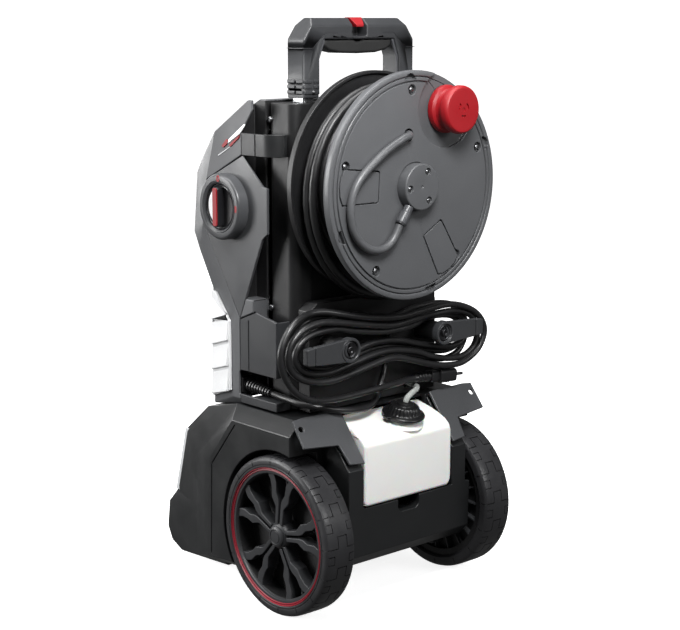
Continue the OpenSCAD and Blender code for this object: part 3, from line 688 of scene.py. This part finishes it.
def handle():
    form = shell("handle_frame")
    slot = prism("slot", rounded_outline(rect(-43, 770.5, 35, 777), 1), "y", 58, 75)
    seams = [block("seam", (84, 34, 757.2), (102, 71, 758.0), s) for s in (-1, 1)]
    for s in (1, -1):
        seams.append(prism("seam", [(s * 84.2, 757.2), (s * 62, 776.8), (s * 41, 776.8),
                                    (s * 41, 777.6), (s * 62.4, 777.6), (s * 84.4, 758.0)],
                           "y", 68.9, 71))
    bevel(form, 2.2, 4, 35)
    cut(form, slot, *seams)
    paint(form, "handle_plastic")
    parts = [form]
    # raised bands with slots round the foot of each leg
    for s in (1, -1):
        for k in range(3):
            z = 697.5 + 7.2 * k
            lo, hi = sorted((s * 71.6, s * 101.2))
            band = prism("band", rounded_outline(rect(lo, 33.6, hi, 70.9), 5), "z", z, z + 4.6)
            cut(band, block("slit", (83, 66, z - 1), (86, 75, z + 6), s),
                block("slit", (97, 51, z - 1), (104, 54, z + 6), s))
            parts.append(paint(bevel(band, 1.0), "handle_plastic"))
        # lighter inner lip of the opening
        edge = [(s * 73, 697), (s * 73, 745), (s * 64, 768.6), (s * 60.4, 768.6),
                (s * 70.6, 743), (s * 70.6, 697)]
        lip = bevel(prism("lip", edge, "y", 63.5, 67.5), 0.8)
        parts.append(paint(lip, "fitting_plastic"))
    parts.append(screw("head", "y", 84.5, 700, 70.6, 2.6))
    fit(join("handle_bow", *parts), "handle", None, ["handle_frame"], 20)

    # grip with a hollowed underside and a notch where the button's rod passes
    under = [(-62, 769), (-62, 760), (-52, 754), (-34, 750.6), (0, 749.6), (34, 750.6),
             (52, 754), (62, 760), (62, 769), (8, 769), (4, 766), (-4, 766), (-8, 769)]
    grip = prism("grip", under, "y", 39, 66)
    ribs = [block("rib", (-45 + 8 * k, 38, 746), (-44 + 8 * k, 67, 751.4)) for k in range(12)]
    fit(cut(bevel(grip, 4.0, 4, 40), *ribs), "handle", "grip_rubber", ["handle_grip"])

    dress("handle_tubes", "handle", "tube_aluminium", 0.5)

    face = prism("face", [(-12.4, 800), (12.4, 800), (6, 785), (-6, 785)], "y", 49, 73)
    top = prism("top", [(50, 779), (63, 779), (63, 784), (69.4, 784), (69.4, 788.2),
                        (59.9, 797.8), (50, 797.8)], "x", -12.4, 12.4)
    fit(bevel(keep(top, face), 0.8), "release_button", "red_plastic", ["release_button"])


# ---- reel


def polar(radius, degrees):
    return spot((0, REEL_Z), radius, math.radians(degrees))


def sector(name, inner, outer, half_in, half_out, degrees, low, high, corner=4):
    a = math.radians(degrees)

    def at(r, t):
        return (r * math.cos(a) - t * math.sin(a), REEL_Z + r * math.sin(a) + t * math.cos(a))

    outline = [at(inner, -half_in), at(outer - 5, -half_out), at(outer, -half_out * 0.55),
               at(outer + 1.5, 0), at(outer, half_out * 0.55), at(outer - 5, half_out),
               at(inner, half_in)]
    return prism(name, rounded_outline(outline, corner), "y", low, high)


def reel():
    dress("reel_back_flange", "reel", "reel_black", 0.8)
    dress("reel_drum", "reel", "reel_black", 0.6)

    rim = lathe("rim", [(26, 163.3), (146, 163.3), (148.5, 164.2), (150.6, 166), (152, 169),
                        (152, 175.6), (151.2, 177.6), (149.6, 178.5), (146, 178.5),
                        (144.6, 177.8), (144, 176.4), (144, 167), (26, 167)],
                "y", (0, REEL_Z), 160, closed=True)

    def slots():
        return [sector("slot", 139.4, 147, 9.5, 9.5, a, 172.5, 182, 1)
                for a in (86, 159, -24, -103)]

    cutters = slots()
    cutters.append(prism("pocket", circle(KNOB, POCKET_R, 96), "y", 172.5, 185))
    cutters.append(prism("hole", circle(STUB_HOLE, 8.5), "y", 160, 185))
    fit(bevel(cut(rim, *cutters), 0.5, 2, 40), "reel", "reel_grey", ["reel_front_flange"])

    disc = lathe("disc", [(0, 170.5), (143.3, 170.5), (143.3, 177), (142.6, 178),
                          (138.6, 178), (138.2, 175.2), (136.6, 175.2), (136.2, 178),
                          (32, 178), (31.6, 175.8), (0, 175.8)], "y", (0, REEL_Z), 160)
    cutters = [prism("pocket", circle(KNOB, POCKET_R, 96), "y", 172.6, 185),
               sector("window", 64, 133, 21, 24, 3, 173.5, 185),
               sector("window", 66, 135, 20, 23, -120, 173.5, 185),
               prism("hole", circle(STUB_HOLE, 8.5), "y", 165, 185),
               prism("bore", circle(KNOB, 5.1), "y", 165, 185)]
    cutters += slots()
    cutters += [prism("counterbore", circle(polar(127, a), 6.8, 32), "y", 173.5, 185)
                for a in FACE_SCREWS]
    paint(bevel(cut(disc, *cutters), 0.6, 2, 40), "reel_grey")
    pads = []
    for inner, outer, hi, ho, a in ((65.8, 131.2, 19.3, 22.3, 3), (67.8, 133.2, 18.3, 21.3, -120)):
        pad = sector("pad", inner, outer, hi, ho, a, 172.5, 178.0, 3)
        pads.append(paint(bevel(pad, 0.4, 2), "reel_grey"))
    fit(join("reel_face", disc, *pads), "reel", None, ["reel_cover"], 18)

    hub = lathe("hub", [(0, 176.0), (31, 176.0), (31, 190.6), (30.4, 192.2), (29, 193),
                        (12, 192.6), (2.2, 192.2), (1.6, 191.2), (0, 191.2)], "y",
                (0, REEL_Z))
    cut(hub, *[prism("counterbore", circle(polar(22, a), 4.9, 32), "y", 190.4, 195)
               for a in HUB_SCREWS])
    fit(bevel(hub, 0.3, 2, 50), "reel", "reel_grey", ["reel_hub"], angle=50)

    heads = [screw("head", "y", *polar(127, a), 176.0, 3.9) for a in FACE_SCREWS]
    heads += [screw("head", "y", *polar(22, a), 190.5, 3.2) for a in HUB_SCREWS]
    fit(join("reel_face_screws", *heads), "reel", None, ["reel_screws"])

    dress("crank_spindle", "reel", "axle_steel", 0.5)

    knob = lathe("knob", [(5.06, 173.3), (29.5, 173.3), (31.4, 174.2), (32, 175.8), (32, 179.4),
                          (31.2, 182.2), (29.4, 183.6), (27.6, 184.8), (26.8, 187), (26.6, 189.6),
                          (26.8, 192.2), (27.6, 194.4), (29.6, 195.6), (31.2, 197), (32, 199.4),
                          (32, 204.8), (31.2, 207.6), (29.4, 209.4), (26.6, 210), (0, 210),
                          (0, 205.9), (5.06, 205.9)], "y", KNOB, 128)
    cutters = []
    for middle in (30, 150, 270):
        arc = [math.radians(middle - 26 + 5.2 * i) for i in range(11)]
        outline = [spot(KNOB, r, a) for r, angles in ((10.6, arc), (7.2, arc[::-1]))
                   for a in angles]
        cutters.append(prism("arc", outline, "y", 208.2, 213))
    cutters.append(prism("dimple", circle(KNOB, 3, 32), "y", 209, 213))
    cut(flatten(knob), *cutters)
    fit(knob, "crank_knob", "red_plastic", ["crank_knob"], angle=30)


def axis_lathe(name, start, toward, profile, mat):
    """A turned piece whose axis runs from start towards another point, in millimetres."""
    direction = Vector(toward) - Vector(start)
    spin = direction.to_track_quat("Z", "Y").to_matrix().to_4x4()
    piece = lathe(name, profile, "z", (0, 0), 48)
    return paint(turned(piece, Matrix.Translation(Vector(start) * MM) @ spin), mat)


def hose():
    y = COVER + HOSE_R + 0.6
    near, far = [(u, y + 1.5, v) for u, v in (polar(31.3, -54), polar(58, -54))]
    profile = [(0, 0), (6.4, 0), (6.4, 8.6), (7, 9.4), (7.6, 10.4), (7.6, 24.4), (7, 25.4),
               (6.2, 25.8), (6.2, 26.6), (0, 26.6)]
    sleeve = axis_lathe("hose_clamp", near, far, profile, "fitting_plastic")
    fit(sleeve, "reel", None, ["hose_sleeve"])

    route = [(34, -48), (38, -56), (43, -64), (50, -71), (59, -76), (70, -78), (81, -77),
             (92, -73), (102, -66), (110, -57), (116, -46), (119, -34), (120, -21), (118, -8),
             (113, 4), (106, 14), (97, 23), (86, 31.5), (74, 40), (62, 48), (49, 55), (36, 61),
             (24, 66)]
    points = [(u, y, REEL_Z + v) for u, v in route]
    points += [(16, y - 1.5, REEL_Z + 67.5), (11, y - 7, REEL_Z + 68.5), (9, y - 14, REEL_Z + 69)]
    line = curve_through(points, 5)
    stub = rope("hose_lead_out", line, HOSE_R, "stub_rubber")
    fit(stub, "reel", None, ["hose_stub"])

    # the wound length: four layers, then slack turns that hang low on the side of the hank
    line = []

    def wind(r):
        u, v = spot((0, REEL_Z), r, theta)
        line.append(Vector((u, y, v)))

    steps = 40
    low, high = 103.4, 157.0
    theta, y = math.radians(80), low
    for radius, turns, way in ((86, 4, 1), (97, 4, -1), (108, 4, 1), (119, 5, -1)):
        count = turns * steps
        for i in range(count):
            settle = min(1, i / steps / 0.5)
            r = (radius - 11) * (1 - settle) + radius * settle if radius > 86 else radius
            r += 0.4 * math.sin(3.3 * theta + radius)
            wind(r)
            theta += math.tau / steps
            y += way * (high - low) / count
    start = theta
    end_radius, end_angle = 142.7, math.radians(157.9)
    turns = 2 + (end_angle - start) % math.tau / math.tau
    count = int(turns * steps)
    for i in range(count + 1):
        turned_by = turns * i / count
        theta = start + math.tau * turned_by
        hang = (0.5 + 0.5 * math.cos(theta - math.radians(247))) ** 2
        slack = 11 * min(1, turned_by / 0.5) + (31 - 4 * turned_by) * hang * min(1, turned_by / 0.4)
        leaving = max(0, (turned_by - turns + 0.22) / 0.22) ** 2
        r = (radius + slack) * (1 - leaving) + end_radius * leaving
        y = low + (130 - low) * turned_by / turns
        wind(r)
    wound = rope("hose_wound", line, HOSE_R, "hose_rubber")
    fit(wound, "reel", None, ["hose_coil"])
    profile = [(0, 0), (7, 0), (8.6, 2)]
    for k in range(8):
        profile += [(8.6, 4 + 4 * k), (7.9, 4.8 + 4 * k), (7.9, 6.4 + 4 * k), (8.6, 7.2 + 4 * k)]
    profile += [(8.6, 39), (8, 40), (6.5, 40.4), (6.5, 47), (5.6, 47.6), (5.6, 50), (6.5, 50.6),
                (6.5, 55), (5.6, 56), (0, 56)]
    fitting = axis_lathe("hose_connector", (-132.2, 130, 631.8), (-141.9, 130, 576.6), profile,
                         "fitting_plastic")
    fit(fitting, "reel", None, ["hose_end"])


# ---- wheels


def tyre_form():
    """The left tyre: blocks parted by thin stepped grooves across the tread."""
    x0, x1 = TYRE_IN, TYRE_OUT
    profile = [(93.2, x0 + 2), (96, x0), (103.6, x0), (106.4, x0 + 0.8), (108.6, x0 + 2.6),
               (109.7, x0 + 6), (110, x0 + 12), (110, x1 - 12), (109.7, x1 - 6),
               (108.6, x1 - 2.6), (106.4, x1 - 0.8), (103.6, x1), (99.6, x1), (99, x1 - 0.7),
               (98, x1 - 0.7), (97.4, x1), (96, x1), (93.2, x1 - 2)]
    tyre = lathe("tyre", profile, "x", (AXLE_Y, WHEEL_Z), 192, closed=True)
    cutters = []

    def groove(lo_x, hi_x, degrees, width, low=107.9):
        """A groove of that many degrees, sunk into the tread between two places across it."""
        steps = max(1, int(width / 2))
        angles = [math.radians(degrees - width / 2 + width * k / steps) for k in range(steps + 1)]
        outline = [spot((AXLE_Y, WHEEL_Z), low, a) for a in angles]
        outline += [spot((AXLE_Y, WHEEL_Z), 113, a) for a in angles[::-1]]
        cutters.append(prism("groove", outline, "x", lo_x, hi_x))

    for i in range(TREAD_BLOCKS):
        at = 360 / TREAD_BLOCKS * i + 4
        # the stepped line between two blocks, then a U sunk into each edge of the tread
        groove(x1 - 19, x1 + 1, at, 0.8)
        groove(x1 - 1.0, x1 + 1, at, 0.8, 98.5)
        groove(x1 - 19.8, x1 - 18.7, at + 4.1, 9.0)
        groove(x1 - 34, x1 - 18.7, at + 8.2, 0.8)
        groove(x1 - 34.8, x1 - 33.7, at + 4.1, 9.0)
        groove(x0 - 1, x1 - 33.7, at, 0.8)
        groove(x0 - 1, x0 + 1.0, at, 0.8, 98.5)
        groove(x1 - 13, x1 - 12, at + 14.5, 6.4)
        groove(x1 - 1.5, x1 - 12, at + 11.6, 0.7)
        groove(x1 - 1.5, x1 - 12, at + 17.4, 0.7)
        groove(x0 + 12, x0 + 13, at + 14.5, 6.4)
        groove(x0 + 2, x0 + 12, at + 11.6, 0.7)
        groove(x0 + 2, x0 + 12, at + 17.4, 0.7)
    return combine(tyre, [join("grooves", *cutters)], "DIFFERENCE", True)


def rim_form():
    """The left rim. Its turned parts are given by radius and depth from the outer face."""
    x1 = TYRE_OUT

    def ring(name, profile, mat, segments=128, closed=True):
        profile = [(r, x1 - depth) for r, depth in profile]
        return paint(lathe(name, profile, "x", (AXLE_Y, WHEEL_Z), segments, closed), mat)

    # the barrel and back plate sit deep behind the spokes and take a darker copy of the rim
    # plastic: painted shade in the gaps
    barrel = ring("barrel", [(84, 45), (92.9, 46), (92.9, 3.2), (91.5, 2.4), (89.4, 2.6),
                             (88.2, 4), (85.6, 7), (84.6, 30)], "rim_dark")
    plate = ring("plate", [(19, 34), (86, 34), (86, 30.5), (70, 29.4), (30, 29.4), (19, 31)],
                 "rim_dark", 96)
    hub = ring("hub", [(7.06, 51), (19.6, 51), (20, 50), (20, 14), (18.6, 9), (15.6, 6),
                       (14.4, 5.2), (7.06, 5.2)], "rim_plastic", 64)
    parts = [barrel, plate, hub]
    arm = [(17, 1.7), (46, 1.9), (53, 3.6), (61, 8.6), (75, 10), (88.6, 18.5), (87, 33.5),
           (74, 22.5), (63, 18.5), (52, 17.6), (40, 8.2), (17, 7.4)]
    for i in range(SPOKES):
        for s in (1, -1):
            outline = [(AXLE_Y + u, WHEEL_Z + s * v) for u, v in arm]
            spoke = bevel(prism("spoke", outline, "x", x1 - 24, x1 - 6), 1.3, 2)
            turned(spoke, about("X", (0, AXLE_Y, WHEEL_Z), 360 / SPOKES * i + 12))
            parts.append(paint(spoke, "rim_plastic"))
    for i in range(RIBS):
        rib = prism("rib", rect(AXLE_Y + 22, WHEEL_Z - 1, AXLE_Y + 84, WHEEL_Z + 1), "x",
                    x1 - 42, x1 - 33.5)
        turned(rib, about("X", (0, AXLE_Y, WHEEL_Z), 360 / RIBS * i))
        parts.append(paint(rib, "rim_plastic"))
    parts.append(ring("cap", [(0, 6), (14.2, 6), (14.2, 3), (13, 1.6), (10.4, 1), (9.8, 1.8),
                              (8.8, 1.8), (8.2, 1), (0, 0.6)], "rim_plastic", 64, False))
    parts.append(ring("lip", [(92.8, 6), (92.8, 3.0), (91.5, 2.2), (87.4, 2.6), (86.2, 4.4),
                              (86, 9)], "rim_plastic"))
    parts.append(ring("band", [(93.0, 1.6), (91.4, 1.2), (90.6, 2.2), (91, 3.4), (93.0, 3.4)],
                      "ring_red", 160))
    parts.append(ring("band", [(93.1, 1.9), (93.1, 4), (94.9, 0.4), (94.2, -0.1)], "ring_red",
                      160))
    return join("rim", *parts)


def wheels():
    tyre = tyre_form()
    fit(tyre, "wheel_left", "tyre", ["tyre_left"], angle=32)
    tyre.name = "tyre_block_left"
    other = mirrored(tyre, "tyre_block_right")
    fit(other, "wheel_right", "tyre", ["tyre_right"], angle=32)
    rim = rim_form()
    rim.name = "rim_spokes_left"
    other = mirrored(rim, "rim_spokes_right")
    fit(rim, "wheel_left", None, ["rim_left"])
    fit(other, "wheel_right", None, ["rim_right"])
    dress("axle", "machine", "axle_steel", 0.8)


# ---- detergent


def detergent():
    side = prism("side", [(109, 150.4), (172, 150.4), (172, 231), (168.5, 239), (160, 246),
                          (147, 252), (134, 257), (109, 265.4)], "x", -90, 90)
    front = prism("front", rounded_outline(rect(-82, 149, 82, 266.5), [16, 10, 22, 22], 6),
                  "y", 100, 180)
    paint(bevel(keep(side, front), 4.0, 4, 24), "tank_white")
    centre = (-13, 145, 256)
    tilt = about("X", (0, 145, 256), -12)
    # neck: a threaded collar under the cap
    profile = [(14.2, 250)]
    for k in range(3):
        profile += [(17.2, 252 + 3.6 * k), (17.9, 253.2 + 3.6 * k), (17.2, 254.4 + 3.6 * k)]
    profile += [(17, 264.6), (14.2, 264.6)]
    neck = lathe("neck", profile, "z", centre[:2], 64, closed=True)
    shoulder = lathe("shoulder", [(14.2, 244), (30, 247), (24, 254), (18, 256.5), (14.2, 256.5)],
                     "z", centre[:2], 64, closed=True)
    for piece in (neck, shoulder):
        paint(turned(piece, tilt), "tank_white")
    fit(join("tank_body", side, neck, shoulder), "machine", None, ["detergent_tank"],
        45)

    def ribbed(k, t, r, h):
        wave = 0.5 + 0.5 * math.cos(26 * t)
        return (r - 1.1 * wave, h) if k in (6, 7, 8) else (r, h)

    cap = lathe("cap", [(18.3, 257.2), (28.6, 258), (30, 259.4), (30, 261.2), (28.8, 262.6),
                        (24.6, 263), (23.4, 264.4), (22.2, 268), (20.2, 272.4), (17.6, 273.6),
                        (12.6, 273.9), (12, 274.4), (11.2, 276.8), (9.2, 277.4), (3.9, 277.4),
                        (3.9, 266), (18.3, 266)], "z", centre[:2], 208, closed=True,
                shape=ribbed)
    lug = prism("lug", rounded_outline([(centre[0] + 26, centre[1] - 7), (centre[0] + 35, 140),
                                        (centre[0] + 35, 150), (centre[0] + 26, 152)], 3), "z",
                258, 262.4)
    bevel(lug, 1.0)
    for piece in (cap, lug):
        paint(turned(piece, tilt), "cap_black")
    fit(join("tank_cap_ribbed", cap, lug), "tank_cap", None, ["tank_cap"], 50)

    route = [(-13, 149.9, 277.2), (-14, 150.4, 281), (-18, 150, 284), (-25, 148, 286.5),
             (-33, 145, 288), (-41, 141, 288.5), (-49, 135, 288.5), (-56, 128, 288),
             (-61, 120, 287), (-65, 112, 287), (-66, 104, 287), (-66, 97, 287)]
    tube = rope("suction_hose", curve_through(route, 6), 4.0, "clear_tube")
    fit(tube, "machine", None, ["suction_tube"])


# ---- mains lead

LEAD_IN = [(135, 44, 293), (136, 62, 292), (136, 80, 291), (134, 97, 289), (126, 112, 287),
           (112, 124, 284), (94, 131, 280), (74, 134, 277), (54, 133, 275), (38, 130, 275),
           (24, 126, 279), (13, 121, 287), (4, 117, 298), (-3, 115, 311), (-9, 112, 324),
           (-15, 108, 338), (-20, 106, 354), (-20, 106, 370), (-14, 107, 382)]


def level(points, y):
    return [(x, y, z) for x, z in points]


HANK = [
    # inner turn at the back
    level([(2, 388), (30, 391), (66, 396), (102, 400), (126, 400), (144, 392), (156, 379),
           (159, 363), (152, 349), (137, 341), (116, 337), (92, 336), (60, 343), (20, 350),
           (-20, 350), (-56, 343), (-90, 334), (-120, 329), (-143, 332), (-154, 342),
           (-157, 356), (-150, 369), (-138, 377), (-120, 381), (-95, 382), (-60, 382)], 114.5),
    # outer turn at the back
    level([(-20, 391), (20, 396), (62, 405), (102, 410), (127, 411), (150, 403), (165, 388),
           (173, 370), (169, 350), (153, 335), (128, 328), (98, 327), (60, 334), (18, 341),
           (-20, 341), (-56, 333), (-90, 323), (-122, 317), (-148, 322), (-161, 335),
           (-167, 353), (-164, 370), (-152, 386), (-130, 396), (-98, 400), (-60, 398)], 114.5),
    # inner turn in the middle
    level([(-20, 394), (20, 396), (60, 402), (98, 402), (126, 396), (146, 385), (155, 371),
           (154, 357), (146, 348), (127, 341), (108, 338), (86, 341), (66, 349), (48, 357),
           (26, 361), (-3, 361), (-30, 357), (-52, 351), (-80, 344), (-105, 339), (-131, 336),
           (-149, 340), (-158, 350), (-160, 362), (-152, 374), (-136, 382), (-108, 386),
           (-76, 384)], 123.7),
    # middle turn at the front
    level([(-43, 378), (8, 376), (63, 384), (96, 391), (125, 391), (146, 387), (162, 377),
           (169, 362), (162, 347), (144, 337), (112, 333), (77, 338), (34, 346), (1, 348),
           (-30, 344), (-56, 338), (-80, 329), (-114, 321), (-142, 320), (-163, 328),
           (-173, 342), (-174, 357), (-166, 372), (-150, 383), (-120, 389), (-76, 388)], 130.5),
    # outer turn at the front
    level([(-43, 387), (-5, 384), (30, 388), (64, 394), (96, 400), (128, 404), (156, 399),
           (176, 385), (184, 366), (179, 347), (161, 333), (131, 324), (98, 324), (55, 331),
           (12, 338), (-12, 337), (-45, 328), (-79, 318), (-114, 312), (-142, 313),
           (-168, 325), (-181, 341), (-184, 356), (-177, 371), (-162, 384), (-140, 394),
           (-112, 400), (-80, 399), (-46, 396)], 135.3),
    # last run along the top
    [(-14, 135.3, 394), (20, 135.3, 397), (57, 135.2, 403), (92, 132, 411), (116, 127, 416),
     (136, 124.5, 416)],
]
TAIL = [(156, 128, 413), (174, 131, 404), (188, 133, 389), (196, 134, 370), (194, 135, 350),
        (185, 136, 331), (171, 136, 316), (152, 136, 305), (130, 136, 299), (106, 136, 297),
        (83, 136, 297), (60, 136, 298), (36, 136, 299), (14, 135, 300), (-8, 132, 300),
        (-30, 127, 300), (-46, 123, 299), (-60, 122, 299)]


def lead():
    points = list(LEAD_IN)
    for turn in HANK:
        points += turn
    points += TAIL
    cable = rope("mains_lead", curve_through(points, 6), LEAD_R, "cord_black")
    fit(cable, "machine", None, ["cord_lead", "cord_hank", "cord_tail"])

    # strain relief: a square flange and nine tapered ribs
    profile = [(0, -2), (9.6, -2), (9.6, 2.4), (7.4, 3)]
    for k in range(9):
        r = 9.0 - 0.38 * k
        h = 4.2 + 5.3 * k
        profile += [(r - 2.0, h), (r, h + 0.5), (r - 0.15, h + 3.0), (r - 2.2, h + 3.5)]
    profile += [(5.4, 53.6), (4.6, 54.4), (0, 54.4)]
    gland = axis_lathe("gland", (135, -10, 297), (135, 44, 293.2), profile, "plug_black")
    flange = prism("flange", rounded_outline(rect(123.5, 286.8, 146.5, 308), 2.5), "y", -16, -9)
    paint(bevel(flange, 0.9), "plug_black")
    fit(join("gland_ribbed", gland, flange), "machine", None, ["cord_gland"], 45)

    # plug, laid along its own axis and then turned into place
    profile = [(0, -3), (5.0, -3), (5.6, -1.6)]
    for k in range(5):
        r = 5.9 + 0.32 * k
        h = 0.4 + 5.2 * k
        profile += [(r, h), (r + 0.5, h + 0.6), (r + 0.5, h + 2.9), (r - 0.5, h + 3.5),
                    (r - 0.5, h + 4.6)]
    profile += [(7.6, 27), (0, 27)]
    relief = lathe("relief", profile, "z", (0, 0), 48)
    neck = prism("neck", rounded_outline(rect(-8, -9.5, 8, 9.5), 5), "z", 26, 42)
    body = prism("body", rounded_outline(rect(-9.5, -13.5, 9.5, 13.5), 6), "z", 40, 72)
    cut(body, *[block("rib", (8.9, -8, 46 + 4.5 * k), (11, 8, 48 + 4.5 * k), s)
                for k in range(4) for s in (1, -1)])
    pieces = [relief, bevel(neck, 2.2, 3), bevel(body, 1.6, 3)]
    for piece in pieces:
        paint(piece, "plug_black")
    for s in (1, -1):
        pin = lathe("pin", [(0, 70), (2.4, 70), (2.4, 86.6), (1.7, 88.4), (0, 89)], "z",
                    (0, 7 * s), 32)
        pieces.append(paint(pin, "screw_steel"))
    plug = turned(join("plug_moulded", *pieces), Matrix.Translation(Vector((-58, 122, 299)) * MM)
                  @ Matrix.Rotation(math.radians(-93), 4, "Y"))
    fit(plug, "machine", None, ["mains_plug"], 45)


# ---- inside


def inside():
    for node, body, mat in (("switch_core", "machine", "switch_body"),
                            ("reel_axle", "machine", "axle_steel"),
                            ("motor", "machine", "motor_iron"),
                            ("motor_rotor", "motor_rotor", "dark_steel"),
                            ("pump", "machine", "pump_alloy"),
                            ("water_inlet", "machine", "brass")):
        fit(bevel(shell(node), 0.6, 2), body, mat, [node])


# ---- stage


def camera():
    data = bpy.data.cameras.new("camera")
    data.lens = 82.78
    data.sensor_width = 36
    obj = add("camera", data)
    psi, e = math.radians(41.582), math.radians(10.738)
    right = Vector((-math.cos(psi), math.sin(psi), 0))
    up = Vector((-math.sin(psi) * math.sin(e), -math.cos(psi) * math.sin(e), math.cos(e)))
    back = right.cross(up)
    spin = Matrix((right, up, back)).transposed().to_4x4()
    obj.matrix_world = Matrix.Translation((1.4442, 1.6562, 0.7961)) @ spin
    bpy.context.scene.camera = obj


def lamp(name, place_at, target, size, power):
    data = bpy.data.lights.new(name, "AREA")
    data.shape = "RECTANGLE"
    data.size, data.size_y = size
    data.energy = power
    obj = add(name, data)
    aim = (Vector(target) - Vector(place_at)).to_track_quat("-Z", "Y")
    obj.matrix_world = Matrix.Translation(place_at) @ aim.to_matrix().to_4x4()
    obj.visible_camera = False


def studio():
    scene = bpy.context.scene
    scene.view_settings.view_transform = "Standard"
    world = bpy.data.worlds.new("studio")
    world.use_nodes = True
    scene.world = world
    sky = world.node_tree.nodes["Background"]
    sky.inputs["Color"].default_value = (1, 1, 1, 1)
    sky.inputs["Strength"].default_value = 0.13

    # a floor that curves up into a pale wall all round
    profile = [(0, 0), (800, 0), (2500, 0), (4200, 0)]
    profile += [(4200 + 1500 * math.sin(a), 1500 * (1 - math.cos(a)))
                for a in [math.radians(10 * k) for k in range(1, 10)]]
    profile += [(5700, 5000)]
    floor = lathe("studio_floor", profile, "z", (0, 0))
    s = Shader("floor_pale")
    cloud = s.noise(2.2, 4)
    s.set(Base_Color=s.mix(cloud, (0.88, 0.88, 0.88, 1), (0.92, 0.92, 0.92, 1)), Roughness=0.8,
          Specular_IOR_Level=0.1, Emission_Color=(1, 1, 1, 1), Emission_Strength=0.86)
    floor.data.materials.append(s.mat)
    floor.data.polygons.foreach_set("use_smooth", [True] * len(floor.data.polygons))
    for rays in ("diffuse", "glossy", "transmission", "shadow"):
        setattr(floor, "visible_" + rays, False)

    lamp("left_wall", (2.6, -2.3, 1.1), (0.1, 0, 0.55), (1.4, 1.5), 92)
    lamp("back_left", (-0.7, -2.7, 1.0), (0.15, 0, 0.5), (1.7, 1.7), 34)
    lamp("left_high", (1.4, -1.0, 2.3), (0.1, 0, 0.6), (1.0, 1.0), 34)
    lamp("key", (0.35, 0.72, 1.2), (0.06, 0.1, 0.62), (0.35, 0.3), 15)
    lamp("right_wall", (-0.9, 2.6, 1.5), (0, 0.1, 0.45), (0.9, 0.7), 20)
    lamp("top", (0.0, 0.0, 3.0), (0, 0, 0.4), (1.6, 1.6), 66)


housing()
switch()
hook("left", 1)
hook("right", -1)
handle()
reel()
hose()
wheels()
detergent()
lead()
inside()
camera()
studio()
